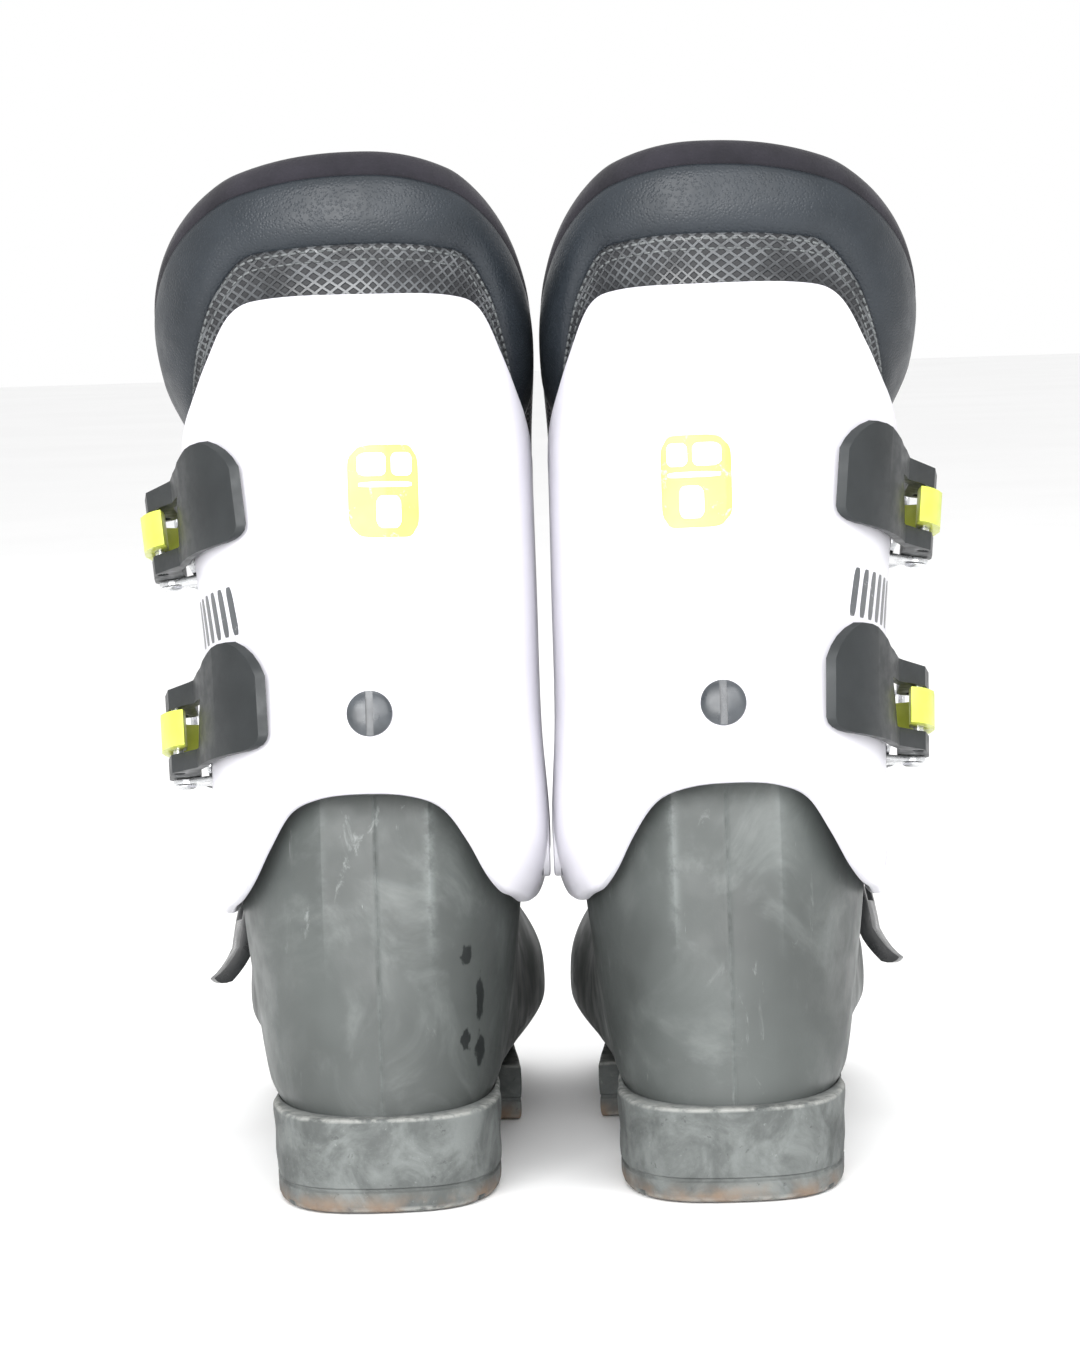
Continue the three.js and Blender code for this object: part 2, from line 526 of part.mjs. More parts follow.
// The lever is a fork round the link in front and a broad fin behind, bent to follow the wall.
function makeLever(frame, angle, height, finHeight) {
  const rear = -LEVER_LENGTH;
  const inside = (x) => wallUnder(frame, angle, height, finHeight, x) + mix(2.2, LEVER_CLEARANCE, smooth((x + 26) / (rear + 26)));
  const stations = steps(6, (u) => mix(-27, rear, u));
  const side = new THREE.Shape();
  side.moveTo(0, PIN_HEIGHT - ARM_RADIUS);
  side.absarc(0, PIN_HEIGHT, ARM_RADIUS, -Math.PI / 2, Math.PI / 2, false);
  side.lineTo(-7, PIN_HEIGHT + ARM_RADIUS - 0.6);
  side.lineTo(-17, PIN_HEIGHT + ARM_RADIUS - 2.4);
  for (const x of stations) side.lineTo(x, inside(x) + LEVER_THICKNESS);
  for (const x of stations.toReversed()) side.lineTo(x, inside(x));
  side.lineTo(-18, Math.max(inside(-18), PIN_HEIGHT - 5.5));
  const outline = new THREE.Shape();
  const half = ARM_HALF_WIDTH;
  outline.moveTo(ARM_RADIUS + 1, -half);
  outline.lineTo(ARM_RADIUS + 1, half);
  outline.lineTo(-9, half);
  outline.quadraticCurveTo(rear + 34, half + 0.6, rear + 23, mix(half, finHeight, 0.42));
  outline.quadraticCurveTo(rear + 16, finHeight - 0.6, rear + 11, finHeight);
  outline.lineTo(rear + 7, finHeight - 0.2);
  outline.quadraticCurveTo(rear + 2, finHeight - 3.6, rear, 9);
  outline.lineTo(rear, -half + 4);
  outline.quadraticCurveTo(rear + 0.4, -half + 0.4, rear + 5, -half);
  const slot = [
    [ARM_RADIUS + 2, -SLOT_HALF_WIDTH], [ARM_RADIUS + 2, SLOT_HALF_WIDTH],
    [-SLOT_LENGTH, SLOT_HALF_WIDTH], [6 - SLOT_LENGTH, -SLOT_HALF_WIDTH],
  ];
  return acrossPin(side, -ARM_HALF_WIDTH - 2, finHeight + 4)
    .intersect(solid(prism(outline, -40, 20)))
    .subtract(solid(prism(slot, -40, 20)))
    .subtract(pinRod(0, PIN_HEIGHT, -20, 20, PIN_RADIUS + GAP))
    .subtract(pinRod(-LINK_PIN_SET_BACK, LINK_PIN_Z, -20, 20, LINK_PIN_RADIUS + GAP));
}

// The base is a plate that is riveted to the wall, with an ear at each end of the pin. `wall` is cut away from it.
function makeBase(wall, depth) {
  const ear = new THREE.Shape();
  ear.moveTo(-11, -depth);
  ear.lineTo(9, -depth);
  ear.absarc(0, PIN_HEIGHT, 3.9, -0.35, Math.PI + 0.35, false);
  const plate = prism([[-18, -EAR_OUTSIDE + 3], [9, -EAR_OUTSIDE], [9, EAR_OUTSIDE], [-18, EAR_OUTSIDE - 3]], -depth, 1.2);
  const hole = pinRod(0, PIN_HEIGHT, -30, 30, PIN_RADIUS + GAP);
  return largest(
    solid(plate)
      .add(acrossPin(ear, EAR_INSIDE, EAR_OUTSIDE))
      .add(acrossPin(ear, -EAR_OUTSIDE, -EAR_INSIDE))
      .subtract(hole)
      .subtract(wall),
  );
}

// The piece of a cut solid that holds the most material.
const largest = (made) => made.decompose().reduce((a, b) => (b.volume() > a.volume() ? b : a));

function makePin(headRadius = 3.3) {
  const end = EAR_OUTSIDE + GAP;
  return pinRod(0, PIN_HEIGHT, -end, end, PIN_RADIUS)
    .add(pinRod(0, PIN_HEIGHT, end - 0.05, end + 1.1, headRadius))
    .add(pinRod(0, PIN_HEIGHT, -end - 1.1, 0.05 - end, headRadius));
}

const makeLinkPin = () => pinRod(-LINK_PIN_SET_BACK, LINK_PIN_Z, -ARM_HALF_WIDTH + 0.4, ARM_HALF_WIDTH - 0.4, LINK_PIN_RADIUS);

// The link hooks round the outside of the pivot pin, from its own pin in the lever to the bail's eye.
const BAIL_EYE = { x: 12.5, z: 6.4 };
function makeLink() {
  const back = -LINK_PIN_SET_BACK;
  const outline = new THREE.Shape();
  outline.moveTo(back - LINK_TAIL, LINK_PIN_Z - 3);
  outline.quadraticCurveTo(back - LINK_TAIL + 0.5, LINK_PIN_Z + 1.6, back - 3, LINK_PIN_Z + 4.6);
  outline.quadraticCurveTo(1, PIN_HEIGHT + 8.8, BAIL_EYE.x + 3.4, BAIL_EYE.z + 1);
  outline.quadraticCurveTo(BAIL_EYE.x + 3.2, BAIL_EYE.z - 3.4, BAIL_EYE.x - 1, BAIL_EYE.z - 3.2);
  outline.quadraticCurveTo(7.2, PIN_HEIGHT + 2.6, 0, PIN_HEIGHT + 2.9);
  outline.quadraticCurveTo(-6, PIN_HEIGHT + 2.6, back + 3.4, LINK_PIN_Z - 1);
  outline.quadraticCurveTo(back, LINK_PIN_Z - 4, back - LINK_TAIL, LINK_PIN_Z - 3);
  return acrossPin(outline, -LINK_HALF_WIDTH, LINK_HALF_WIDTH)
    .subtract(pinRod(-LINK_PIN_SET_BACK, LINK_PIN_Z, -9, 9, LINK_PIN_RADIUS + GAP))
    .subtract(pinRod(BAIL_EYE.x, BAIL_EYE.z, -9, 9, BAIL_WIRE_RADIUS + BAIL_PLAY));
}

// A closed wire loop: one end passes through the link's eye, and the other lies behind a tooth of the ladder.
function makeBail(path, segments) {
  const loop = new THREE.CatmullRomCurve3(path, true, "centripetal");
  return solid(new THREE.TubeGeometry(loop, segments, BAIL_WIRE_RADIUS, 5, true));
}

const TOOTH_PITCH = 8;
const TOOTH_HEIGHT = 2.6;
const TOOTH_HALF_WIDTH = 1.8;
const BAIL_SEAT = TOOTH_HALF_WIDTH + BAIL_WIRE_RADIUS + GAP - TOOTH_PITCH / 2; // against the tooth behind it
const LADDER_BASE = 1.8;
// A ladder is a strip with rounded teeth across it, and the bail lies in the valley between two of them.
function makeLadder(wall, depth, halfWidth) {
  const crests = [-1.5, -0.5, 0.5].map((i) => i * TOOTH_PITCH);
  const start = -2.1 * TOOTH_PITCH;
  const end = 1.1 * TOOTH_PITCH;
  const outline = [[start, -depth], [start, LADDER_BASE]];
  for (const crest of crests) {
    outline.push([crest - TOOTH_HALF_WIDTH, LADDER_BASE], [crest - 0.7, LADDER_BASE + TOOTH_HEIGHT]);
    outline.push([crest + 0.7, LADDER_BASE + TOOTH_HEIGHT], [crest + TOOTH_HALF_WIDTH, LADDER_BASE]);
  }
  outline.push([end, LADDER_BASE], [end, -depth]);
  return largest(acrossPin(outline, -halfWidth, halfWidth).subtract(wall));
}

// The frame on the leg's outside at an angle and height: along the surface, up and outwards.
function legFrame(angle, height, offset) {
  const origin = legPoint(angle, height, offset);
  const up = legPoint(angle, height + 10, offset).sub(legPoint(angle, height - 10, offset)).normalize();
  const around = legPoint(angle + 1, height, offset).sub(legPoint(angle - 1, height, offset));
  const out = new THREE.Vector3().crossVectors(around, up).normalize();
  const ahead = new THREE.Vector3().crossVectors(up, out);
  return new THREE.Matrix4().makeBasis(ahead, up, out).setPosition(origin);
}

// Builds both buckle ends of one cuff buckle, each in its own frame on the cuff.
function makeCuffBuckle(name, angle, height, finHeight) {
  const wallDepth = CUFF_WALL - 0.4;
  const leverFrame = legFrame(angle, height, 0);
  const ladderFrame = legFrame(LADDER_ANGLE, height + LADDER_RISE, FLAP_STEP);
  const wallIn = (frame) => cuffSolid(GAP, -CUFF_WALL).transform(frame.clone().invert().elements);
  const seat = BAIL_SEAT;
  const inLever = (v) => v.applyMatrix4(leverFrame);
  const inLadder = (v) => v.applyMatrix4(ladderFrame);
  const wireZ = LADDER_BASE + BAIL_WIRE_RADIUS + 0.4;
  const run = (y) => [
    inLever(new THREE.Vector3(BAIL_EYE.x + 5, y, BAIL_EYE.z + 0.6)),
    legPoint(mix(angle, LADDER_ANGLE, 0.62), height + y, FLAP_STEP + BAIL_WIRE_RADIUS + 2.6),
    inLadder(new THREE.Vector3(seat - 7, y, wireZ + 3.4)),
  ];
  const path = [
    inLever(new THREE.Vector3(BAIL_EYE.x, 0, BAIL_EYE.z)),
    inLever(new THREE.Vector3(BAIL_EYE.x, LINK_HALF_WIDTH, BAIL_EYE.z)),
    inLever(new THREE.Vector3(BAIL_EYE.x, BAIL_HALF_WIDTH - 2.2, BAIL_EYE.z)),
    ...run(BAIL_HALF_WIDTH),
    inLadder(new THREE.Vector3(seat, BAIL_HALF_WIDTH - 2.4, wireZ)),
    inLadder(new THREE.Vector3(seat, 0, wireZ)),
    inLadder(new THREE.Vector3(seat, 2.4 - BAIL_HALF_WIDTH, wireZ)),
    ...run(-BAIL_HALF_WIDTH).reverse(),
    inLever(new THREE.Vector3(BAIL_EYE.x, 2.2 - BAIL_HALF_WIDTH, BAIL_EYE.z)),
    inLever(new THREE.Vector3(BAIL_EYE.x, -LINK_HALF_WIDTH, BAIL_EYE.z)),
  ];
  return [
    [name + "_base", makeBase(wallIn(leverFrame), wallDepth), "steel", leverFrame],
    [name + "_lever", makeLever(leverFrame, angle, height, finHeight), "lever", leverFrame],
    [name + "_pin", makePin(), "steel", leverFrame],
    [name + "_link_pin", makeLinkPin(), "steel", leverFrame],
    [name + "_link", makeLink(), "accent", leverFrame],
    [name + "_bail", makeBail(path, 28), "steel", null],
    [name + "_ladder", makeLadder(wallIn(ladderFrame), wallDepth, BAIL_HALF_WIDTH - 5.1), "lever", ladderFrame],
  ];
}

// ---------------------------------------------------------------- the instep buckle
// It sits on the lower shell: its lever hangs down the outer side, and its bail runs up over the instep.
const INSTEP_SECTION = 0.395;
const INSTEP_LEVER_TURN = 55; // degrees round the section from its top line
const INSTEP_LADDER_TURN = 6;
const SMALL_LEVER_LENGTH = 38;
const SMALL_CRANK = 11; // from the lever's pin to the bail's end in its arms
const SMALL_ARM_HALF_WIDTH = 9;
const SMALL_BAIL_HALF_WIDTH = SMALL_ARM_HALF_WIDTH + BAIL_WIRE_RADIUS + 1.4;

// A point of the shell's outside, by section and by degrees round it from the top line towards the outer side.
function shellPoint(t, turn, inset = 0) {
  const ring = shellRing(t, inset, 360);
  return ring[((Math.round(turn) % 360) + 360) % 360];
}

// The frame on the shell's outside, with X pointing up over the instep along a chord that reaches down by `reach`.
function shellFrame(t, turn, reach) {
  const origin = shellPoint(t, turn);
  const over = shellPoint(t, turn - 4).sub(shellPoint(t, turn + reach)).normalize();
  const alongFoot = shellPoint(t + 0.02, turn).sub(shellPoint(t - 0.02, turn)).normalize();
  const out = new THREE.Vector3().crossVectors(over, alongFoot).normalize();
  const pinLine = new THREE.Vector3().crossVectors(out, over).normalize();
  return new THREE.Matrix4().makeBasis(over, pinLine, out).setPosition(origin);
}

function makeSmallLever() {
  const rear = -SMALL_LEVER_LENGTH;
  const side = new THREE.Shape();
  side.moveTo(0, PIN_HEIGHT - ARM_RADIUS);
  side.absarc(0, PIN_HEIGHT, ARM_RADIUS, -Math.PI / 2, Math.PI / 2, false);
  side.lineTo(-8, PIN_HEIGHT + ARM_RADIUS - 0.4);
  side.quadraticCurveTo(-18, PIN_HEIGHT + 3.4, -26, PIN_HEIGHT + 1.6);
  side.quadraticCurveTo(rear + 4, PIN_HEIGHT + 2.6, rear, PIN_HEIGHT + 5.6);
  side.quadraticCurveTo(rear - 2, PIN_HEIGHT + 3, rear + 1, PIN_HEIGHT - 0.4);
  side.quadraticCurveTo(-30, PIN_HEIGHT - 3.2, -26, PIN_HEIGHT - 3);
  side.quadraticCurveTo(-18, PIN_HEIGHT - 2.4, -10, PIN_HEIGHT - 3.6);
  const half = SMALL_ARM_HALF_WIDTH;
  const outline = [
    [ARM_RADIUS + 1, -half], [ARM_RADIUS + 1, half], [-26, half], [rear + 4, half - 2],
    [rear - 2, half - 4], [rear - 2, 4 - half], [rear + 4, 2 - half], [-26, -half],
  ];
  const slotHalf = half - 2.6;
  const slot = prism([[ARM_RADIUS + 2, -slotHalf], [ARM_RADIUS + 2, slotHalf], [-17, slotHalf], [-17, -slotHalf]], -5, 30);
  return acrossPin(side, -half - 1, half + 1)
    .intersect(solid(prism(outline, -5, 30)))
    .subtract(solid(slot))
    .subtract(pinRod(0, PIN_HEIGHT, -20, 20, PIN_RADIUS + GAP))
    .subtract(pinRod(-SMALL_CRANK, LINK_PIN_Z, -20, 20, BAIL_WIRE_RADIUS + BAIL_PLAY));
}

function makeSmallBase(wall, depth) {
  const inside = SMALL_ARM_HALF_WIDTH + GAP;
  const outside = inside + EAR_THICKNESS;
  const ear = new THREE.Shape();
  ear.moveTo(-9, -depth);
  ear.lineTo(8, -depth);
  ear.absarc(0, PIN_HEIGHT, 3.9, -0.35, Math.PI + 0.35, false);
  const plate = prism([[-16, -outside + 2], [8, -outside], [8, outside], [-16, outside - 2]], -depth, 1.2);
  return largest(
    solid(plate)
      .add(acrossPin(ear, inside, outside))
      .add(acrossPin(ear, -outside, -inside))
      .subtract(wall)
      .add(pinRod(0, PIN_HEIGHT, -outside - 0.8, outside + 0.8, PIN_RADIUS)),
  );
}

function makeInstepBuckle() {
  const depth = 6;
  const leverFrame = shellFrame(INSTEP_SECTION, INSTEP_LEVER_TURN, 40);
  const ladderFrame = shellFrame(INSTEP_SECTION, INSTEP_LADDER_TURN, 4);
  const form = solid(shellForm(-GAP));
  const wallIn = (frame) => form.transform(frame.clone().invert().elements);
  const inLever = (x, y, z) => new THREE.Vector3(x, y, z).applyMatrix4(leverFrame);
  const inLadder = (x, y, z) => new THREE.Vector3(x, y, z).applyMatrix4(ladderFrame);
  const wireZ = LADDER_BASE + BAIL_WIRE_RADIUS + 0.4;
  const half = SMALL_BAIL_HALF_WIDTH;
  const seat = BAIL_SEAT;
  const run = (side) => [
    inLever(-SMALL_CRANK + 2, side * half, LINK_PIN_Z + 2),
    inLever(0, side * half, PIN_HEIGHT + 6),
    inLever(9, side * half, PIN_HEIGHT + 3.4),
    inLadder(-15, side * half, wireZ + 2.2),
    inLadder(seat - 5, side * half, wireZ + 1.6),
  ];
  const path = [
    inLever(-SMALL_CRANK, 0, LINK_PIN_Z),
    inLever(-SMALL_CRANK, half - 2, LINK_PIN_Z),
    ...run(1),
    inLadder(seat, half - 2, wireZ),
    inLadder(seat, 0, wireZ),
    inLadder(seat, 2 - half, wireZ),
    ...run(-1).reverse(),
    inLever(-SMALL_CRANK, 2 - half, LINK_PIN_Z),
  ];
  return [
    ["instep_base", makeSmallBase(wallIn(leverFrame), depth), "steel", leverFrame],
    ["instep_lever", makeSmallLever(), "black", leverFrame],
    ["instep_bail", makeBail(path, 32), "steel", null],
    ["instep_ladder", makeLadder(wallIn(ladderFrame), depth, SMALL_BAIL_HALF_WIDTH - 4.6), "black", ladderFrame],
  ];
}

// ---------------------------------------------------------------- materials and assembly
const finish = (color, roughness, metalness = 0) => new THREE.MeshStandardMaterial({ color, roughness, metalness });
const MATERIALS = {
  white: finish(0xf4f4f6, 0.35),
  shell: finish(0x5f6464, 0.6),
  sole: finish(0x777b7a, 0.85),
  liner: finish(0x2c3336, 0.7),
  lining: finish(0x35313a, 0.95),
  strap: finish(0x1c1c1e, 0.85),
  lever: finish(0x45494b, 0.4, 0.6),
  accent: finish(0xd9f03a, 0.4),
  steel: finish(0xc9cccd, 0.25, 1),
  black: finish(0x16181a, 0.35),
  board: finish(0x3a3d40, 0.8),
};

function makeBoot(side) {
  const boot = new THREE.Group();
  const cuffFrame = new THREE.Group();
  cuffFrame.position.set(0, PIVOT_Y, PIVOT_HEIGHT);
  cuffFrame.rotation.x = -LEAN;
  boot.add(cuffFrame);
  const put = (parent, name, made, material, frame = null) => {
    const mesh = new THREE.Mesh(geometryOf(made), MATERIALS[material]);
    mesh.name = side + "_" + name;
    if (frame) frame.decompose(mesh.position, mesh.quaternion, mesh.scale);
    parent.add(mesh);
  };
  put(boot, "lower_shell", makeLowerShell(), "shell");
  put(boot, "heel_sole", makeSoleBlock(heelOutline, HEEL_HEIGHT), "sole");
  put(boot, "toe_sole", makeSoleBlock(toeOutline, TOE_HEIGHT), "sole");
  put(boot, "boot_board", makeBootBoard(), "board");
  put(boot, "liner_foot", makeLinerFoot(), "liner");
  for (const [name, made, material, frame] of makeInstepBuckle()) put(boot, name, made, material, frame);
  put(cuffFrame, "cuff", makeCuff(), "white");
  put(cuffFrame, "pivot_outer", makePivot(1), "white");
  put(cuffFrame, "pivot_inner", makePivot(-1), "white");
  put(cuffFrame, "spine_screw", makeSpineScrew(), "black");
  put(cuffFrame, "liner_collar", makeCollar(), "liner");
  put(cuffFrame, "tongue", makeTongue(), "lining");
  put(cuffFrame, "power_strap", makeStrap(), "strap");
  const buckles = [
    ...makeCuffBuckle("upper", UPPER_BUCKLE_ANGLE, UPPER_BUCKLE_HEIGHT, 19.5),
    ...makeCuffBuckle("lower", LOWER_BUCKLE_ANGLE, LOWER_BUCKLE_HEIGHT, 21),
  ];
  for (const [name, made, material, frame] of buckles) put(cuffFrame, name, made, material, frame);
  boot.position.x = BOOT_SPACING / 2;
  return boot;
}

const pair = new THREE.Group();
const rightBoot = makeBoot("right");
const leftBoot = makeBoot("left");
leftBoot.position.x *= -1;
leftBoot.scale.x = -1;
pair.add(rightBoot, leftBoot);

export default pair;
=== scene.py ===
"""Looks for a pair of alpine ski boots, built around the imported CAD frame. Blender 4.5.

Every mesh is made in millimetres in one boot's own frame, with its outer side towards +X and the toes towards +Y,
and place() turns it into the frame's metres for the right boot, or mirrors it for the left one. The pieces that
belong to the leg are made in the cuff's frame, which leans forward over the ankle pivots.
"""
import json
import math

import bmesh
import bpy
import numpy as np
from mathutils import Matrix, Vector


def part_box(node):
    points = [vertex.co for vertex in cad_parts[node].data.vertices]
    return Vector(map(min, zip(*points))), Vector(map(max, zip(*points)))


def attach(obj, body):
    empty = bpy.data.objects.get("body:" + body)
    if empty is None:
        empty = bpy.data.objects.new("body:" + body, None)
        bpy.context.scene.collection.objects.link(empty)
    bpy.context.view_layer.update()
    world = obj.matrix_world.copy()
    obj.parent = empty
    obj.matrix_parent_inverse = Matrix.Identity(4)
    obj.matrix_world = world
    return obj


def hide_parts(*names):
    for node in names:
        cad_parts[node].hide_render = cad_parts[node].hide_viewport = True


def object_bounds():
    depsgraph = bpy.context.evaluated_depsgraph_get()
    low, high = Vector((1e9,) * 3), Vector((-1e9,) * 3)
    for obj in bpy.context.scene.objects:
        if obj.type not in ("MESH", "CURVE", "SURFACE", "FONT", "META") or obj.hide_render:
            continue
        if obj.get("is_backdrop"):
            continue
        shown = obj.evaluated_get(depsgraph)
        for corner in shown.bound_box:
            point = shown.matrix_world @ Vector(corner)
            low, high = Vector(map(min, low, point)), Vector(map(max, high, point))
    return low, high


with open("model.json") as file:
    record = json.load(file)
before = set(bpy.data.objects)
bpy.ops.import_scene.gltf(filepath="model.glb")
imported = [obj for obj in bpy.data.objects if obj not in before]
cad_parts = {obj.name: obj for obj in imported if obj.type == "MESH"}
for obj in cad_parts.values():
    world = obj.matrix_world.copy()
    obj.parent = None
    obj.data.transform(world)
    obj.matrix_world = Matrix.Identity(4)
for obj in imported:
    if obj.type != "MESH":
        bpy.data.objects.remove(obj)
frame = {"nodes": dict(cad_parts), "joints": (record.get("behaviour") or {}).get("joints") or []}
CAD_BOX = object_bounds()

# ---------------------------------------------------------------- driving dimensions, in millimetres and degrees
MM = 0.001
JOINTS = {joint["name"]: joint for joint in frame["joints"]}


def box_mm(node):
    """Lowest and highest corner of a CAD node, in millimetres."""
    low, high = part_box(node)
    return np.array(low) / MM, np.array(high) / MM


BOOT_X, PIVOT_Y, PIVOT_HEIGHT = np.array(JOINTS["right_cuff_flex"]["pos_m"]) / MM
HEEL_LOW, HEEL_HIGH = box_mm("right_heel_sole")
TOE_HIGH = box_mm("right_toe_sole")[1]
SOLE_LENGTH = round(TOE_HIGH[1] - HEEL_LOW[1])
LEAN = math.radians(13)

SHELL_WALL = 4.5
INSTEP = 142
SOLE_CORNER = 22
BALL_SOLE_WIDTH = 79
HEEL_BLOCK_LENGTH = 98
HEEL_BLOCK_INNER_WIDTH = 65
TOE_BLOCK_LENGTH = 136
SOLE_END_WIDTH = 69
SHELL_FLOOR = 9
GAP = 0.35
CUFF_WALL = 4
CUFF_CLEARANCE = 2.2
ANKLE_HALF_WIDTH = 50.5
FLAP_STEP = CUFF_WALL + 0.6
PIVOT_HEAD_RADIUS = 12
PIVOT_HEAD_THICKNESS = 2.2
PIVOT_SHANK_RADIUS = 5
LINER_WALL = 7
LINER_GAP = 1.1
LINER_SOLE = 5
BOARD_TOP = SHELL_FLOOR + SHELL_WALL + 7
TONGUE_HALF_ANGLE = 27
TONGUE_TOP = 166
STRAP_BOTTOM = 121
STRAP_WIDTH = 32
STRAP_THICKNESS = 2.4
SPINE_SCREW_HEIGHT = 31
SPINE_SCREW_RADIUS = 6.8
SCREW_SHOULDER = 2.4  # how far the screw's head reaches past its shank
SCREW_SLOT_HALF_WIDTH = 1.1


# ---------------------------------------------------------------- small maths
def clamp01(t):
    return np.clip(t, 0, 1)


def smooth(t):
    return clamp01(t) ** 2 * (3 - 2 * clamp01(t))


def mix(a, b, t):
    return a + (b - a) * t


def signed_power(value, power):
    return np.sign(value) * np.abs(value) ** power


def curve_through(pairs):
    """A smooth function of one variable through (x, value) pairs, level beyond both ends."""
    x, v = np.array(pairs, float).T
    before = np.maximum(np.arange(len(x)) - 1, 0)
    after = np.minimum(np.arange(len(x)) + 1, len(x) - 1)
    slope = (v[after] - v[before]) / (x[after] - x[before])

    def value(at):
        at = np.clip(at, x[0], x[-1])
        i = np.clip(np.searchsorted(x, at), 1, len(x) - 1)
        width = x[i] - x[i - 1]
        t = (at - x[i - 1]) / width
        h = t * t * (3 - 2 * t)
        bend = slope[i - 1] * t * (1 - t) ** 2 - slope[i] * t * t * (1 - t)
        return v[i - 1] * (1 - h) + v[i] * h + width * bend

    return value


def spline_point(points, t):
    """Points of a centripetal Catmull-Rom curve through `points`, at each t from 0 to 1."""
    ends = np.vstack([2 * points[0] - points[1], points, 2 * points[-1] - points[-2]])
    place = np.clip(np.asarray(t, float), 0, 1) * (len(points) - 1)
    i = np.minimum(place.astype(int), len(points) - 2)
    w = (place - i)[..., None]
    p0, p1, p2, p3 = ends[i], ends[i + 1], ends[i + 2], ends[i + 3]
    spans = ((p0, p1), (p1, p2), (p2, p3))
    d0, d1, d2 = (np.sqrt(np.linalg.norm(b - a, axis=-1, keepdims=True)) for a, b in spans)
    m1 = ((p1 - p0) / d0 - (p2 - p0) / (d0 + d1) + (p2 - p1) / d1) * d1
    m2 = ((p2 - p1) / d1 - (p3 - p1) / (d1 + d2) + (p3 - p2) / d2) * d1
    return p1 + m1 * w + (3 * (p2 - p1) - 2 * m1 - m2) * w**2 + (2 * (p1 - p2) + m1 + m2) * w**3


# ---------------------------------------------------------------- meshes
def grid_faces(rows, columns, closed_rows=False, closed_columns=False):
    """Quads of a grid of points that is stored row by row."""
    r = np.arange(rows if closed_rows else rows - 1)[:, None]
    c = np.arange(columns if closed_columns else columns - 1)[None, :]
    below, beside = (r + 1) % rows, (c + 1) % columns
    corners = (r * columns + c, r * columns + beside, below * columns + beside, below * columns + c)
    return np.stack(np.broadcast_arrays(*corners), -1).reshape(-1, 4)


def ring_stack_faces(rows, columns):
    """Faces of a stack of closed rings, whose two ends close to the two points that follow the rings' points."""
    faces = grid_faces(rows, columns, closed_columns=True).tolist()
    first, last, end = rows * columns, rows * columns + 1, (rows - 1) * columns
    for i in range(columns):
        j = (i + 1) % columns
        faces.append([first, j, i])
        faces.append([last, end + i, end + j])
    return faces


def box_solid(low, high):
    """Points and faces of a box between two corners."""
    low, high = np.array(low, float), np.array(high, float)
    corners = np.array([[(high if (i >> k) & 1 else low)[k] for k in range(3)] for i in range(8)])
    return corners, [(0, 1, 3, 2), (4, 6, 7, 5), (0, 4, 5, 1), (2, 3, 7, 6), (0, 2, 6, 4), (1, 5, 7, 3)]


def signed_volume(points, faces):
    total = 0.0
    for face in faces:
        corner = points[face[0]]
        for i in range(1, len(face) - 1):
            total += np.dot(corner, np.cross(points[face[i]], points[face[i + 1]]))
    return total


def new_piece(name, points, faces, materials, slots=None, attributes=None, sharp=35):
    """A piece in metres. `points` are in the frame's millimetres, and its faces are turned to point out."""
    points = np.asarray(points, float)
    faces = [list(map(int, f)) for f in faces]
    if signed_volume(points, faces) < 0:
        faces = [f[::-1] for f in faces]
    mesh = bpy.data.meshes.new(name)
    mesh.from_pydata((points * MM).tolist(), [], faces)
    for material in materials:
        mesh.materials.append(material)
    if slots is not None:
        mesh.polygons.foreach_set("material_index", np.asarray(slots, np.int32))
    for key, values in (attributes or {}).items():
        values = np.asarray(values, np.float32)
        kind = "FLOAT" if values.ndim == 1 else "FLOAT_VECTOR"
        layer = mesh.attributes.new(key, kind, "POINT")
        layer.data.foreach_set("value" if kind == "FLOAT" else "vector", values.ravel())
    mesh.shade_smooth()
    mesh.set_sharp_from_angle(angle=math.radians(sharp))
    mesh.update()
    piece = bpy.data.objects.new(name, mesh)
    bpy.context.scene.collection.objects.link(piece)
    return piece


def place(points, side):
    """Points of one boot's own frame in the shared frame, in millimetres. side is 1 for the right boot."""
    points = np.array(points, float)
    points[..., 0] = side * (points[..., 0] + BOOT_X)
    return points


def from_cuff(points):
    """Points of the cuff's frame in the boot's frame."""
    x, y, z = np.moveaxis(np.asarray(points, float), -1, 0)
    c, s = math.cos(LEAN), math.sin(LEAN)
    return np.stack([x, y * c + z * s + PIVOT_Y, z * c - y * s + PIVOT_HEIGHT], -1)


def cut(piece, cutter, operation="DIFFERENCE"):
    """Cuts a piece with another one, and removes the cutter."""
    modifier = piece.modifiers.new("cut", "BOOLEAN")
    modifier.operation = operation
    modifier.solver = "EXACT"
    modifier.object = cutter
    graph = bpy.context.evaluated_depsgraph_get()
    made = bpy.data.meshes.new_from_object(piece.evaluated_get(graph), depsgraph=graph)
    piece.modifiers.clear()
    piece.data = made
    bpy.data.objects.remove(cutter)
    return piece


def sharpen(piece, angle):
    piece.data.shade_smooth()
    piece.data.set_sharp_from_angle(angle=math.radians(angle))
    return piece


def basis(ahead, up, out, origin):
    """A 4x4 matrix whose columns are three directions and an origin."""
    matrix = np.eye(4)
    for i, column in enumerate((ahead, up, out, origin)):
        matrix[:3, i] = column
    return matrix


def transformed(matrix, points):
    return np.asarray(points, float) @ matrix[:3, :3].T + matrix[:3, 3]


def unit(v):
    return v / np.linalg.norm(v, axis=-1, keepdims=True)


def axis_frame(start, direction):
    """A frame whose third axis is `direction`."""
    out = unit(np.asarray(direction, float))
    ahead = unit(np.cross([0.0, 0.0, 1.0] if abs(out[2]) < 0.9 else [0.0, 1.0, 0.0], out))
    return basis(ahead, np.cross(out, ahead), out, start)


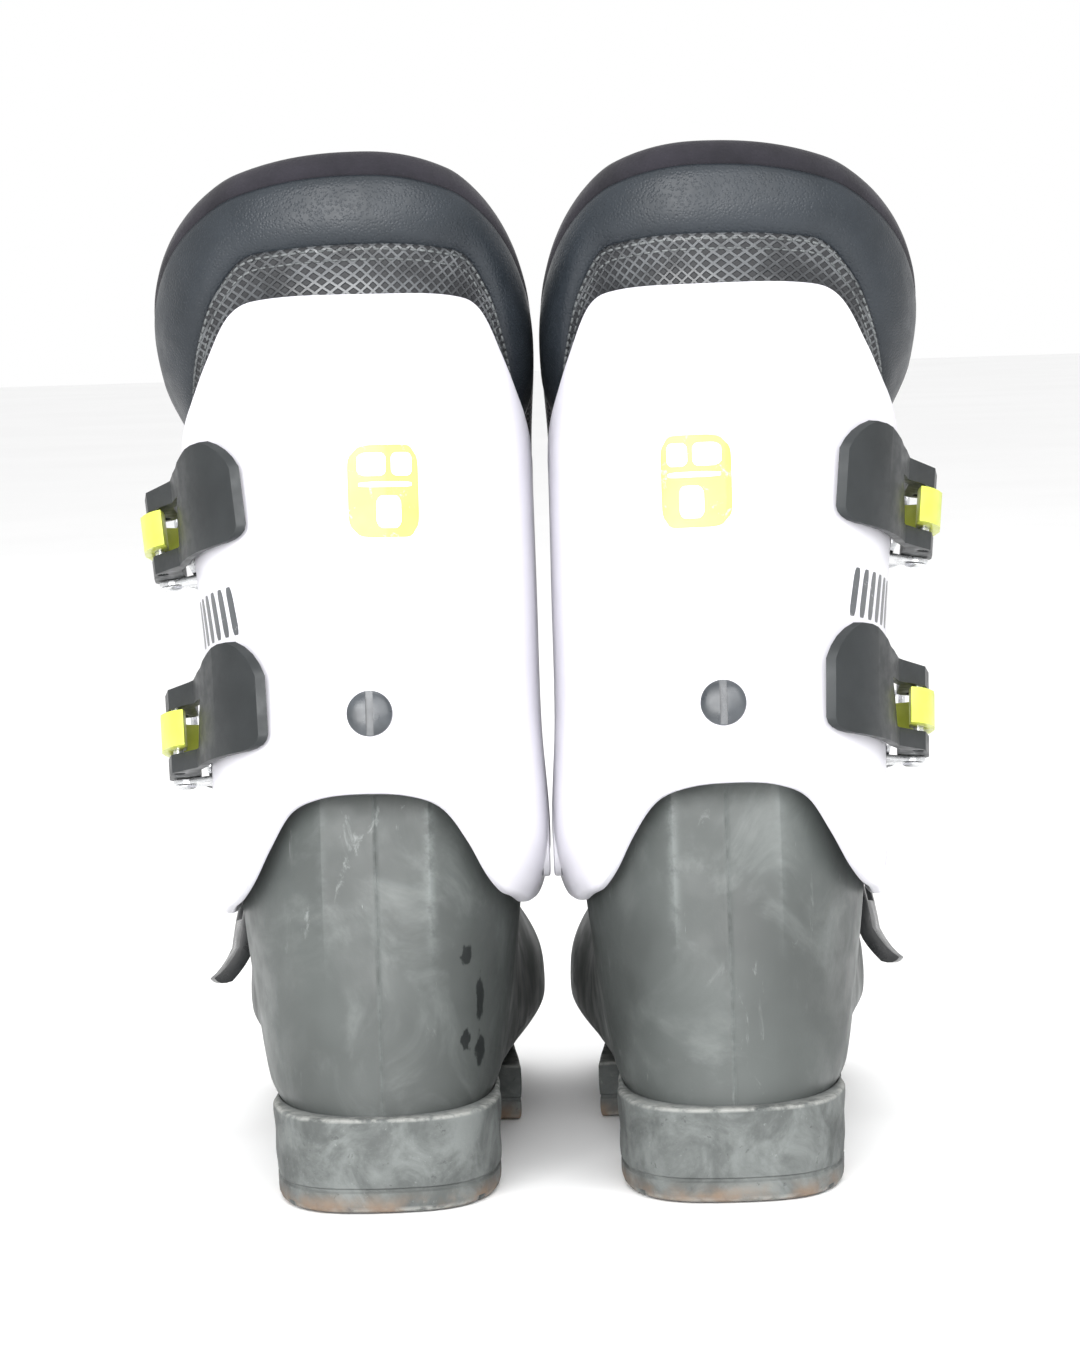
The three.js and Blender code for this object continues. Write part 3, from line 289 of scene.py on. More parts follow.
def turned(profile, matrix, sides=48):
    """Points and faces of a profile of (radius, height) pairs that is turned round a frame's third axis."""
    angle = np.arange(sides) * 2 * np.pi / sides
    radius, height = np.array(profile, float).T
    inner = radius[1:-1]
    levels = np.repeat(height[1:-1, None], sides, 1)
    ring = np.stack([inner[:, None] * np.cos(angle), inner[:, None] * np.sin(angle), levels], -1)
    points = np.vstack([ring.reshape(-1, 3), [[0, 0, height[0]], [0, 0, height[-1]]]])
    return transformed(matrix, points), ring_stack_faces(len(inner), sides)


def joined(parts):
    """One list of points and faces from several."""
    points, faces, start = [], [], 0
    for part_points, part_faces in parts:
        points.append(part_points)
        faces += [[start + i for i in f] for f in part_faces]
        start += len(part_points)
    return np.vstack(points), faces


# ---------------------------------------------------------------- materials
class Shade:
    """One procedural material, with short calls for the nodes that this scene uses."""

    def __init__(self, name, roughness, metallic=0.0, **sockets):
        self.material = bpy.data.materials.new(name)
        self.material.use_nodes = True
        self.tree = self.material.node_tree
        self.shader = self.tree.nodes["Principled BSDF"]
        self.set(Roughness=roughness, Metallic=metallic)
        for key, value in sockets.items():
            self.shader.inputs[key.replace("_", " ")].default_value = value
        self.place = self.node("ShaderNodeTexCoord").outputs["Object"]
        self.normal = None

    def node(self, kind, inputs=None, **properties):
        made = self.tree.nodes.new(kind)
        for key, value in properties.items():
            setattr(made, key, value)
        for key, value in (inputs or {}).items():
            self.feed(made.inputs[key], value)
        return made

    def feed(self, socket, value):
        if isinstance(value, bpy.types.NodeSocket):
            self.tree.links.new(value, socket)
        else:
            socket.default_value = value

    def set(self, **sockets):
        for key, value in sockets.items():
            self.feed(self.shader.inputs[key.replace("_", " ")], value)

    def attribute(self, name, output="Vector"):
        return self.node("ShaderNodeAttribute", attribute_name=name).outputs[output]

    def stretched(self, coordinates, scale, turn=(0.0, 0.0, 0.0)):
        inputs = {"Vector": coordinates, "Scale": scale, "Rotation": turn}
        return self.node("ShaderNodeMapping", inputs).outputs["Vector"]

    def noise(self, size, detail=3.0, roughness=0.55, distortion=0.0, at=None):
        """Cloudy noise from 0 to 1, whose largest features are `size` metres apart."""
        inputs = {
            "Vector": at or self.place, "Scale": 1 / size, "Detail": detail,
            "Roughness": roughness, "Distortion": distortion,
        }
        return self.node("ShaderNodeTexNoise", inputs).outputs["Fac"]

    def cells(self, size, at=None, feature="F1"):
        inputs = {"Vector": at or self.place, "Scale": 1 / size}
        return self.node("ShaderNodeTexVoronoi", inputs, feature=feature).outputs["Distance"]

    def math(self, operation, a, b=0.0, clamp=False):
        made = self.node("ShaderNodeMath", operation=operation, use_clamp=clamp)
        self.feed(made.inputs[0], a)
        self.feed(made.inputs[1], b)
        return made.outputs["Value"]

    def band(self, value, low, high, to_low=0.0, to_high=1.0):
        """A value that runs from to_low to to_high while `value` runs from low to high."""
        inputs = {"Value": value, "From Min": low, "From Max": high, "To Min": to_low, "To Max": to_high}
        return self.node("ShaderNodeMapRange", inputs, interpolation_type="SMOOTHSTEP").outputs["Result"]

    def blend(self, factor, a, b):
        """Colour a where the factor is 0 and colour b where it is 1."""
        made = self.node("ShaderNodeMix", data_type="RGBA")
        self.feed(made.inputs["Factor"], factor)
        for socket, value in ((made.inputs[6], a), (made.inputs[7], b)):
            self.feed(socket, (*value, 1.0) if isinstance(value, tuple) and len(value) == 3 else value)
        return made.outputs[2]

    def bump(self, height, depth, strength=1.0):
        """Adds relief, `depth` metres deep, on top of the relief so far."""
        inputs = {"Height": height, "Distance": depth, "Strength": strength}
        if self.normal:
            inputs["Normal"] = self.normal
        self.normal = self.node("ShaderNodeBump", inputs).outputs["Normal"]
        self.set(Normal=self.normal)


def cuff_plastic(name="cuff_plastic"):
    """White moulded plastic with a fine grain, faint clouding and a few rubbed marks."""
    m = Shade(name, 0.38, Coat_Weight=0.12, Coat_Roughness=0.3)
    clouds = m.band(m.noise(0.05, 4), 0.35, 0.75)
    rubbed = m.stretched(m.place, (1.0, 1.0, 0.22), (0.3, 0.5, 0.0))
    marks = m.band(m.noise(0.006, 5, 0.7, 0.6, rubbed), 0.66, 0.75)
    marks = m.math("MULTIPLY", marks, m.band(m.noise(0.03, 2), 0.5, 0.66))
    base = m.blend(clouds, (0.66, 0.652, 0.695), (0.63, 0.622, 0.668))
    m.set(Base_Color=m.blend(m.math("MULTIPLY", marks, 0.4), base, (0.42, 0.42, 0.45)))
    m.set(Roughness=m.band(m.noise(0.02, 4), 0.3, 0.7, 0.33, 0.46))
    m.bump(m.noise(0.0007, 2), 0.00002, 0.6)
    return m.material


def shell_plastic():
    """Grey plastic of the lower shell: cloudy pale rub marks, fine scratches, and pale rubbed ridges."""
    m = Shade("shell_plastic", 0.5, Specular_IOR_Level=0.32)
    wear = m.attribute("wear", "Fac")
    scar = m.attribute("scar", "Fac")
    base = m.blend(m.band(m.noise(0.06, 3), 0.3, 0.7), (0.054, 0.059, 0.057), (0.078, 0.086, 0.083))
    clouds = m.math("MULTIPLY", m.band(m.noise(0.03, 6, 0.62, 0.8), 0.48, 0.78), 0.75)
    base = m.blend(clouds, base, (0.135, 0.146, 0.142))
    smears = m.stretched(m.place, (1.0, 1.0, 0.35), (0.2, 0.7, 0.1))
    smear = m.band(m.noise(0.009, 6, 0.7, 1.2, smears), 0.6, 0.74)
    smear = m.math("MULTIPLY", smear, m.band(m.noise(0.035, 3), 0.46, 0.62))
    base = m.blend(m.math("MULTIPLY", smear, 0.65), base, (0.24, 0.256, 0.25))
    scratches = m.stretched(m.place, (1.0, 0.4, 0.08), (0.1, 0.35, 0.2))
    scratch = m.band(m.noise(0.0022, 4, 0.75, 0.3, scratches), 0.7, 0.76)
    base = m.blend(m.math("MULTIPLY", scratch, 0.45), base, (0.26, 0.28, 0.27))
    rubbed = m.math("MULTIPLY", wear, m.band(m.noise(0.006, 5, 0.7), 0.36, 0.62))
    base = m.blend(m.math("MULTIPLY", rubbed, 0.7), base, (0.22, 0.24, 0.235))
    ragged = m.math("ADD", scar, m.math("MULTIPLY", m.math("SUBTRACT", m.noise(0.004, 4), 0.5), 0.9))
    base = m.blend(m.band(ragged, 0.42, 0.58), base, (0.014, 0.016, 0.016))
    m.set(Base_Color=base, Roughness=m.band(m.noise(0.012, 5), 0.3, 0.7, 0.42, 0.62))
    m.bump(m.noise(0.0009, 3), 0.00003, 0.7)
    m.bump(m.noise(0.008, 5, 0.7), 0.00012, 0.6)
    return m.material


def sole_rubber():
    """Worn grey rubber: mottled, nicked and rough, with a brown tinge near the ground."""
    m = Shade("sole_rubber", 0.72, Specular_IOR_Level=0.3)
    wear = m.attribute("wear", "Fac")
    base = m.blend(m.band(m.noise(0.016, 6, 0.65, 0.5), 0.36, 0.68), (0.072, 0.078, 0.076), (0.145, 0.156, 0.152))
    speck = m.band(m.noise(0.0018, 5, 0.8), 0.6, 0.72)
    base = m.blend(m.math("MULTIPLY", speck, 0.5), base, (0.22, 0.235, 0.228))
    nick = m.band(m.noise(0.003, 4, 0.7, 0.4), 0.3, 0.37, 1.0, 0.0)
    base = m.blend(m.math("MULTIPLY", nick, 0.5), base, (0.03, 0.033, 0.033))
    rubbed = m.math("MULTIPLY", wear, m.band(m.noise(0.005, 5, 0.7), 0.35, 0.6))
    base = m.blend(rubbed, base, (0.27, 0.275, 0.26))
    dirt = m.math("MULTIPLY", m.attribute("dirt", "Fac"), m.band(m.noise(0.012, 4), 0.35, 0.65))
    base = m.blend(dirt, base, (0.2, 0.135, 0.09))
    m.set(Base_Color=base, Roughness=m.band(m.noise(0.006, 4), 0.3, 0.7, 0.6, 0.85))
    m.bump(m.noise(0.0012, 5, 0.7), 0.00012, 0.8)
    m.bump(m.noise(0.006, 5, 0.65), 0.00035, 0.6)
    return m.material


def leather():
    """Dark green-grey synthetic leather with a fine pebbled grain."""
    m = Shade("collar_leather", 0.46, Specular_IOR_Level=0.3)
    base = m.blend(m.band(m.noise(0.03, 4), 0.3, 0.7), (0.013, 0.0165, 0.0205), (0.019, 0.0235, 0.029))
    flecks = m.band(m.noise(0.0035, 3, 0.8, 0.4), 0.74, 0.78)
    m.set(Base_Color=m.blend(m.math("MULTIPLY", flecks, 0.35), base, (0.15, 0.165, 0.17)))
    grain = m.cells(0.0009)
    m.set(Roughness=m.band(m.noise(0.01, 4), 0.3, 0.7, 0.36, 0.5))
    m.bump(m.band(grain, 0.1, 0.6), 0.00011, 0.75)
    m.bump(m.noise(0.012, 4), 0.0005, 0.35)
    return m.material


def embossed_mesh():
    """Glossy black mesh: raised diagonal ribs that leave dark diamond holes."""
    m = Shade("collar_mesh", 0.3, Specular_IOR_Level=0.42)
    surface = m.attribute("surface")
    pitch = 0.0024
    ribs = []
    for turn in (0.82, -0.82):
        turned_place = m.stretched(surface, (1.0, 1.0, 1.0), (0.0, 0.0, turn))
        along = m.node("ShaderNodeSeparateXYZ", {"Vector": turned_place}).outputs["X"]
        wave = m.math("SINE", m.math("MULTIPLY", along, 2 * math.pi / pitch))
        ribs.append(m.band(wave, 0.1, 0.75))
    rib = m.math("MAXIMUM", ribs[0], ribs[1])
    worn = m.math("MULTIPLY", rib, m.band(m.noise(0.018, 3), 0.4, 0.62, 0.25, 1.0))
    base = m.blend(worn, (0.012, 0.013, 0.015), (0.085, 0.09, 0.095))
    m.set(Base_Color=base, Roughness=m.band(rib, 0, 1, 0.6, 0.24))
    m.bump(rib, 0.00045, 1.0)
    return m.material


def textile(name, dark, light, thread=0.0011):
    """Brushed stretch textile with a fine knit."""
    m = Shade(name, 0.92, Sheen_Weight=0.12, Sheen_Roughness=0.6, Specular_IOR_Level=0.2)
    knit = m.noise(thread, 3, 0.7)
    base = m.blend(m.band(m.noise(0.02, 4), 0.3, 0.7), dark, light)
    fibres = m.stretched(m.place, (1.0, 1.0, 0.5), (0.4, 0.2, 0.0))
    fluff = m.band(m.noise(0.0011, 4, 0.8, 0.8, fibres), 0.6, 0.75)
    m.set(Base_Color=m.blend(m.math("MULTIPLY", fluff, 0.35), base, tuple(2.6 * c for c in light)))
    m.bump(knit, 0.00025, 0.8)
    return m.material


def webbing():
    """Woven strap: rows of flat threads across the strap."""
    m = Shade("strap_webbing", 0.8, Sheen_Weight=0.3)
    surface = m.attribute("surface")
    split = m.node("ShaderNodeSeparateXYZ", {"Vector": surface})
    warp = m.math("SINE", m.math("MULTIPLY", split.outputs["Y"], 2 * math.pi / 0.0016))
    weft = m.math("SINE", m.math("MULTIPLY", split.outputs["X"], 2 * math.pi / 0.0022))
    weave = m.band(m.math("MULTIPLY", warp, weft), -0.8, 0.8)
    base = m.blend(weave, (0.012, 0.012, 0.014), (0.05, 0.05, 0.055))
    m.set(Base_Color=m.blend(m.band(m.noise(0.03), 0.4, 0.7), base, (0.035, 0.035, 0.038)))
    m.bump(weave, 0.0003, 0.9)
    return m.material


def anodised():
    """Dark grey coated metal of the levers, with pale chips where the wear attribute marks its edges, partly wear and
    partly a painted highlight; its glossier edges are a separate lighter material, whose lighter colour is a painted
    highlight.
    """
    m = Shade("lever_coating", 0.42, 0.2, Specular_IOR_Level=0.3)
    edge = m.attribute("wear", "Fac")
    base = m.blend(m.band(m.noise(0.02, 4), 0.3, 0.7), (0.02, 0.0225, 0.0235), (0.027, 0.03, 0.0315))
    # Pale chips on the edges that the wear attribute marks: partly wear, partly a painted highlight.
    chips_and_highlight = m.math("MULTIPLY", edge, m.band(m.noise(0.0016, 4, 0.7), 0.56, 0.64))
    m.set(Base_Color=m.blend(m.math("MULTIPLY", chips_and_highlight, 0.5), base, (0.2, 0.215, 0.22)))
    m.set(Roughness=m.band(m.noise(0.004, 4), 0.3, 0.7, 0.36, 0.5))
    m.bump(m.noise(0.0006, 2), 0.00002, 0.6)
    return m.material


def moulded(name, dark, light, roughness, grain=0.00003, **sockets):
    """Plain moulded plastic with a little unevenness in its colour, gloss and surface."""
    m = Shade(name, roughness, **sockets)
    base = m.blend(m.band(m.noise(0.012, 4), 0.3, 0.7), dark, light)
    scuffs = m.band(m.noise(0.0024, 4, 0.75, 0.5), 0.67, 0.75)
    m.set(Base_Color=m.blend(m.math("MULTIPLY", scuffs, 0.25), base, (0.45, 0.46, 0.46)))
    m.set(Roughness=m.band(m.noise(0.005, 4), 0.3, 0.7, roughness - 0.06, roughness + 0.1))
    m.bump(m.noise(0.0008, 3), grain, 0.7)
    return m.material


def steel():
    """Bright plated steel with a fine brushed grain."""
    m = Shade("plated_steel", 0.25, 1.0)
    m.set(Base_Color=m.blend(m.band(m.noise(0.006, 4), 0.35, 0.7), (0.72, 0.73, 0.74), (0.55, 0.56, 0.57)))
    m.set(Roughness=m.band(m.noise(0.003, 4), 0.3, 0.7, 0.18, 0.36))
    brushed = m.stretched(m.place, (1.0, 1.0, 0.15))
    m.bump(m.noise(0.0006, 3, at=brushed), 0.00002, 0.5)
    return m.material


def label(name, colour, faded):
    """Printed film that is a little faded and rubbed."""
    m = Shade(name, 0.35, Coat_Weight=0.2)
    rub = m.band(m.noise(0.004, 5, 0.7, 0.5), 0.6, 0.72)
    base = m.blend(m.band(m.noise(0.02, 3), 0.35, 0.7), colour, faded)
    m.set(Base_Color=m.blend(m.math("MULTIPLY", rub, 0.45), base, (0.82, 0.82, 0.84)))
    m.bump(m.noise(0.003, 3), 0.00003, 0.5)
    return m.material


WHITE = cuff_plastic()
PIVOT_WHITE = cuff_plastic("pivot_plastic")
SHELL = shell_plastic()
SOLE = sole_rubber()
LEATHER = leather()
MESH = embossed_mesh()
RIM = textile("collar_textile", (0.008, 0.0075, 0.0105), (0.016, 0.0145, 0.02))
LINING = textile("lining_textile", (0.02, 0.02, 0.024), (0.035, 0.035, 0.04), 0.0016)
THREAD = moulded("stitch_thread", (0.06, 0.066, 0.068), (0.12, 0.128, 0.13), 0.5)
STRAP = webbing()
LEVER = anodised()
# Lighter, glossier material for the levers' bevelled edges; its lighter colour is a painted highlight.
LEVER_EDGE_HIGHLIGHT = moulded("lever_edge_painted_highlight", (0.035, 0.038, 0.042), (0.06, 0.065, 0.07), 0.22)
NEON = moulded("neon_plastic", (0.5, 0.56, 0.06), (0.58, 0.63, 0.09), 0.36, Coat_Weight=0.1)
BLACK = moulded("black_plastic", (0.008, 0.009, 0.01), (0.016, 0.017, 0.018), 0.3)
SCREW = moulded("screw_plastic", (0.022, 0.026, 0.03), (0.05, 0.056, 0.063), 0.3)
BOARD = moulded("board_plastic", (0.03, 0.032, 0.035), (0.05, 0.053, 0.056), 0.55)
STEEL = steel()
LABEL = label("label_yellow", (0.6, 0.7, 0.04), (0.64, 0.72, 0.07))
LABEL_WHITE = label("label_white", (0.86, 0.86, 0.88), (0.8, 0.8, 0.84))
LABEL_GREY = label("label_grey", (0.05, 0.055, 0.06), (0.08, 0.085, 0.09))


# ---------------------------------------------------------------- the foot's form
# The same form as the CAD shell: sections in planes that stand upright at the toe and fan round the instep.
def along(station):
    return station * INSTEP if station <= 1 else INSTEP + (station - 1) * (SOLE_LENGTH - INSTEP)


def station_of(length):
    return np.where(length <= INSTEP, length / INSTEP, 1 + (length - INSTEP) / (SOLE_LENGTH - INSTEP))


OUTER_SIDE = {
    "floor": curve_through([(0, 31), (0.3, 34.5), (0.6, 35.5), (1, 38), (1.35, 41), (1.6, 39), (1.8, 32), (1.93, 20)]),
    "ball": curve_through(
        [(0, 34), (0.3, 38), (0.6, 40), (1, 45), (1.3, 50), (1.5, 49.5), (1.7, 43), (1.84, 33), (1.93, 20)]
    ),
    "ankle": curve_through([(0, 0.78), (0.35, 0.95), (0.5, 1), (0.65, 0.98), (0.8, 0.88), (1, 0.74)]),
}
INNER_SIDE = {
    "floor": curve_through([(0, 31), (0.3, 34), (0.6, 35), (1, 38.5), (1.35, 42.5), (1.6, 39.5), (1.8, 32), (1.93, 20)]),
    "ball": curve_through(
        [(0, 34), (0.3, 36.5), (0.6, 38), (1, 43), (1.35, 47.5), (1.55, 47), (1.7, 43), (1.84, 33), (1.93, 20)]
    ),
    "ankle": curve_through([(0, 0.78), (0.35, 0.92), (0.5, 0.97), (0.65, 0.96), (0.8, 0.88), (1, 0.74)]),
}
WELT_HEIGHT = 19
BALL_HEIGHT = 34
ANKLE_SHELL_HALF_WIDTH = ANKLE_HALF_WIDTH - CUFF_WALL - CUFF_CLEARANCE

# Length and height of the top line and the bottom line, section by section from the toe to the rim.
SECTIONS = np.array([
    (along(1.9), 33, along(1.895), 15), (along(1.875), 50, along(1.87), SHELL_FLOOR + 1),
    (along(1.78), 62, along(1.77), SHELL_FLOOR), (along(1.62), 70, along(1.6), SHELL_FLOOR),
    (along(1.44), 78, along(1.4), SHELL_FLOOR), (along(1.27), 88, along(1.18), SHELL_FLOOR),
    (along(1.12), 101, along(0.93), SHELL_FLOOR), (INSTEP + 3, 113, along(0.66), SHELL_FLOOR),
    (INSTEP, 121, along(0.4), SHELL_FLOOR), (INSTEP - 2, 127, 24, SHELL_FLOOR),
    (INSTEP - 3, 130, 9, 17), (INSTEP - 4, 133, 7, 42), (INSTEP - 6, 137, 8, 70),
    (INSTEP - 8.5, 141, 10.5, 98), (INSTEP - 11.5, 145, 17, 128),
], float)


def shell_half_width(length, height, side):
    """Half width of the lower shell at a length from the heel and a height, on one side."""
    station = station_of(length)
    half = {key: np.where(side > 0, OUTER_SIDE[key](station), INNER_SIDE[key](station)) for key in OUTER_SIDE}
    forward = smooth((station - 1) / 0.3)
    ankle = mix(half["ankle"] * ANKLE_SHELL_HALF_WIDTH, 0.87 * half["ball"], forward)
    low = mix(half["floor"], half["ball"], smooth((height - WELT_HEIGHT) / (BALL_HEIGHT - WELT_HEIGHT)))
    high = mix(half["ball"], ankle, smooth((height - BALL_HEIGHT) / (PIVOT_HEIGHT - BALL_HEIGHT)))
    return np.where(height < BALL_HEIGHT, low, high)


def shell_rings(t, inset, turn):
    """Points [section][turn] of the lower shell's form moved in by `inset`. t is 0 at the toe and 1 at the rim, and
    turn is 0 at the top line and 0.5 at the bottom line."""
    t = np.asarray(t, float)
    step = 1e-4
    ends = []
    for line, sign in ((SECTIONS[:, :2], -1), (SECTIONS[:, 2:], 1)):
        point = spline_point(line, t)
        ahead, behind = spline_point(line, np.minimum(t + step, 1)), spline_point(line, np.maximum(t - step, 0))
        tangent = unit(ahead - behind)
        ends.append([point, tangent, sign])
    upwards = unit(ends[0][0] - ends[1][0])
    moved = []
    for point, tangent, sign in ends:
        facing = np.abs(tangent[:, 0] * upwards[:, 1] - tangent[:, 1] * upwards[:, 0])
        moved.append(point + sign * upwards * (inset / np.maximum(0.6, facing))[:, None])
    top, bottom = moved
    up, across = np.cos(turn * 2 * np.pi)[None, :], np.sin(turn * 2 * np.pi)[None, :]
    heel_share = smooth((t - 0.55) / 0.25)[:, None]
    power = 2 / np.where(up > 0, 2.25, mix(3.1, 2.4, heel_share))
    share = ((1 + signed_power(up, power)) / 2)[..., None]
    at = bottom[:, None] + (top - bottom)[:, None] * share
    width = np.maximum(2, shell_half_width(at[..., 0], at[..., 1], np.sign(across)) - inset)
    x = width * signed_power(across, power)
    toe_shift = (inset * smooth(1 - t / 0.3))[:, None]
    return np.stack([x, at[..., 0] - toe_shift - SOLE_LENGTH / 2, at[..., 1]], -1)


def closed_rings(rings):
    """Points and faces of a stack of closed rings, with each end closed to a point."""
    points = np.vstack([rings.reshape(-1, 3), rings[0].mean(0), rings[-1].mean(0)])
    return points, ring_stack_faces(*rings.shape[:2])


def shell_form(inset, side, top=1.0, beyond=None):
    """A solid of the shell's form moved in by `inset`, as a cutter. `beyond` carries it on past its last section."""
    rings = shell_rings(np.linspace(0, top, 60), inset, np.arange(96) / 96)
    if beyond is not None:
        rings = np.concatenate([rings, rings[-1:] + np.array(beyond)])
    points, faces = closed_rings(rings)
    return new_piece("cutter", place(points, side), faces, [])


def box_cutter(low, high, side):
    corners, faces = box_solid(low, high)
    return new_piece("cutter", place(corners, side), faces, [])


# ---------------------------------------------------------------- the lower shell
FACET_HALF_WIDTH = 16
FACET_BOTTOM = 58
FACET_TOP = 98
PARTING_LINE = 0.35
FLAP_LINE = ((0.2, 20), (0.34, 26), (0.5, 33), (0.64, 30))


def heel_facet(rings):
    """Flattens the back of the heel between two upright creases, with a fine parting line down its middle."""
    shaped = rings.copy()
    wear = np.zeros(rings.shape[:2])
    for r, ring in enumerate(rings):
        middle = np.abs(ring[:, 0]) < 1.6 * FACET_HALF_WIDTH
        behind = (ring[:, 1] < PIVOT_Y - 25) & middle & (ring[:, 2] > SHELL_FLOOR + 12)
        if behind.sum() < 8:
            continue
        order = np.argsort(ring[behind, 0])
        x, y = ring[behind, 0][order], ring[behind, 1][order]
        for edge in (-FACET_HALF_WIDTH, FACET_HALF_WIDTH):
            crease_y = np.interp(edge, x, y)
            beside = behind & (ring[:, 0] * edge > 0)
            share = smooth((ring[:, 2] - FACET_BOTTOM) / (FACET_TOP - FACET_BOTTOM))
            within = beside & (np.abs(ring[:, 0]) < FACET_HALF_WIDTH)
            shaped[r, within, 1] = mix(ring[within, 1], crease_y, 0.85 * share[within])
            near = np.exp(-(((ring[:, 0] - edge) / 1.6) ** 2)) * share
            wear[r] = np.maximum(wear[r], np.where(beside, near * (0.5 if edge < 0 else 0.2), 0))
        line = behind & (np.abs(ring[:, 0]) < 1.2)
        shaped[r, line, 1] -= PARTING_LINE * np.exp(-((ring[line, 0] / 0.4) ** 2))
        wear[r] = np.maximum(wear[r], 0.28 * np.exp(-((ring[:, 0] / 0.5) ** 2)) * behind)
    return shaped, wear


def flap_groove(rings, t, turn):
    """A groove along the edge of the shell's overlap, from the throat down over the instep to the toe box."""
    shaped = rings.copy()
    edge = curve_through(FLAP_LINE)(t) / 360
    inside = smooth((t - 0.16) / 0.05) * smooth((0.7 - t) / 0.06)
    distance = (turn[None, :] - edge[:, None]) * 360
    depth = 1.1 * inside[:, None] * np.exp(-((distance / 1.1) ** 2))
    shaped[..., 2] -= depth
    shaped[..., 0] -= 0.5 * depth
    return shaped


# Dark scars on the inner side of the heel: distance behind the pivot, height, half width, half height.
SCARS = ((-46, 73, 2.4, 2.8), (-40, 59, 2.0, 7.0), (-47, 47.5, 2.3, 2.8), (-41, 43.5, 2.6, 4.6))


def scars(points):
    found = np.zeros(len(points))
    for y, z, half_y, half_z in SCARS:
        on_side = points[:, 0] < -12
        reach = ((points[:, 1] - PIVOT_Y - y) / half_y) ** 2 + ((points[:, 2] - z) / half_z) ** 2
        found = np.maximum(found, np.where(on_side, np.exp(-0.7 * reach), 0))
    return found


def heel_turns(count, extra):
    """Turns round a section, closer together round the heel's middle line."""
    even = np.arange(count) / count
    return np.unique(np.round(np.concatenate([even, np.linspace(0.42, 0.58, extra)]), 6))


def make_lower_shell(name, side):
    turn = heel_turns(200, 120)
    t = np.linspace(0, 0.985, 130)
    outer, wear = heel_facet(shell_rings(t, 0, turn))
    outer = flap_groove(outer, t, turn)
    rim_start, rim_end = shell_rings([0.985], 0, turn)[0], shell_rings([0.985], SHELL_WALL, turn)[0]
    rise = unit(shell_rings([1.0], 0, turn)[0] - shell_rings([0.97], 0, turn)[0])
    angle = np.linspace(0, np.pi, 9)[1:-1, None, None]
    rim = mix(rim_start, rim_end, (1 - np.cos(angle)) / 2) + rise * np.sin(angle) * SHELL_WALL / 2
    inner = shell_rings(np.linspace(0.985, 0, 60), SHELL_WALL, turn)
    rings = np.concatenate([outer, rim, inner])
    rubbed = np.zeros(rings.shape[:2])
    rubbed[: len(wear)] = wear
    points, faces = closed_rings(rings)
    flat_wear = np.concatenate([rubbed.ravel(), [0, 0]])
    attributes = {"wear": flat_wear, "scar": scars(points) * (side < 0)}
    piece = new_piece(name, place(points, side), faces, [SHELL], attributes=attributes, sharp=40)
    drill = turned(
        [(0, -80), (PIVOT_SHANK_RADIUS + GAP, -80), (PIVOT_SHANK_RADIUS + GAP, 80), (0, 80)],
        axis_frame((0, PIVOT_Y, PIVOT_HEIGHT), (1, 0, 0)),
    )
    cut(piece, new_piece("cutter", place(drill[0], side), drill[1], []))
    return sharpen(piece, 40)


# ---------------------------------------------------------------- the sole blocks
def quadratic(a, b, c, count):
    t = np.linspace(0, 1, count + 1)[1:, None]
    return (1 - t) ** 2 * np.array(a) + 2 * t * (1 - t) * np.array(b) + t**2 * np.array(c)


def straight(a, b, count):
    return np.array(a) + (np.array(b) - np.array(a)) * np.linspace(0, 1, count + 1)[1:, None]


def sole_outline(length, end_width, inner_width, towards):
    """Outline of a sole block seen from above, with rounded corners at its free end."""
    half, inner = end_width / 2, inner_width / 2
    end = towards * SOLE_LENGTH / 2
    start = end - towards * length
    corner, bulge = end - towards * 1.2, end + towards * 1.2
    side_start = end - towards * 2 * SOLE_CORNER
    return np.vstack([
        straight((inner, start), (half, side_start), 24),
        quadratic((half, side_start), (half - 1, end - towards * 6), (half - SOLE_CORNER, corner), 18),
        quadratic((half - SOLE_CORNER, corner), (0, bulge), (SOLE_CORNER - half, corner), 20),
        quadratic((SOLE_CORNER - half, corner), (1 - half, end - towards * 6), (-half, side_start), 18),
        straight((-half, side_start), (-inner, start), 24),
        straight((-inner, start), (inner, start), 24),
    ])


def wobble(points, size):
    """A small smooth unevenness, the same on every run."""
    x, y, z = np.moveaxis(points, -1, 0)
    waves = np.sin(0.31 * x + 0.17 * z) + np.sin(0.23 * y + 0.41 * z + 1.7)
    waves = waves + np.sin(0.13 * (x + y) - 0.6 * z + 0.4)
    return size * waves / 3


# How far each level of a sole block lies inside its outline: [height, inset], with a worn lower edge, the line
# between the tread pad and the block, and a rounded top edge.
def sole_levels(height):
    body = [(z, mix(0.6, 0.1, (z - 8.2) / (height - 9.4))) for z in np.linspace(8.2, height - 1.2, 14)]
    edge = [
        (0, 2.6), (0.25, 1.9), (0.9, 1.3), (1.9, 0.95), (3.2, 0.75), (4.8, 0.7), (5.9, 0.7), (6.4, 1.35),
        (7.0, 1.35), (7.5, 0.65),
    ]
    return edge + body + [(height - 0.5, 0.35), (height - 0.1, 0.85), (height, 1.5)]


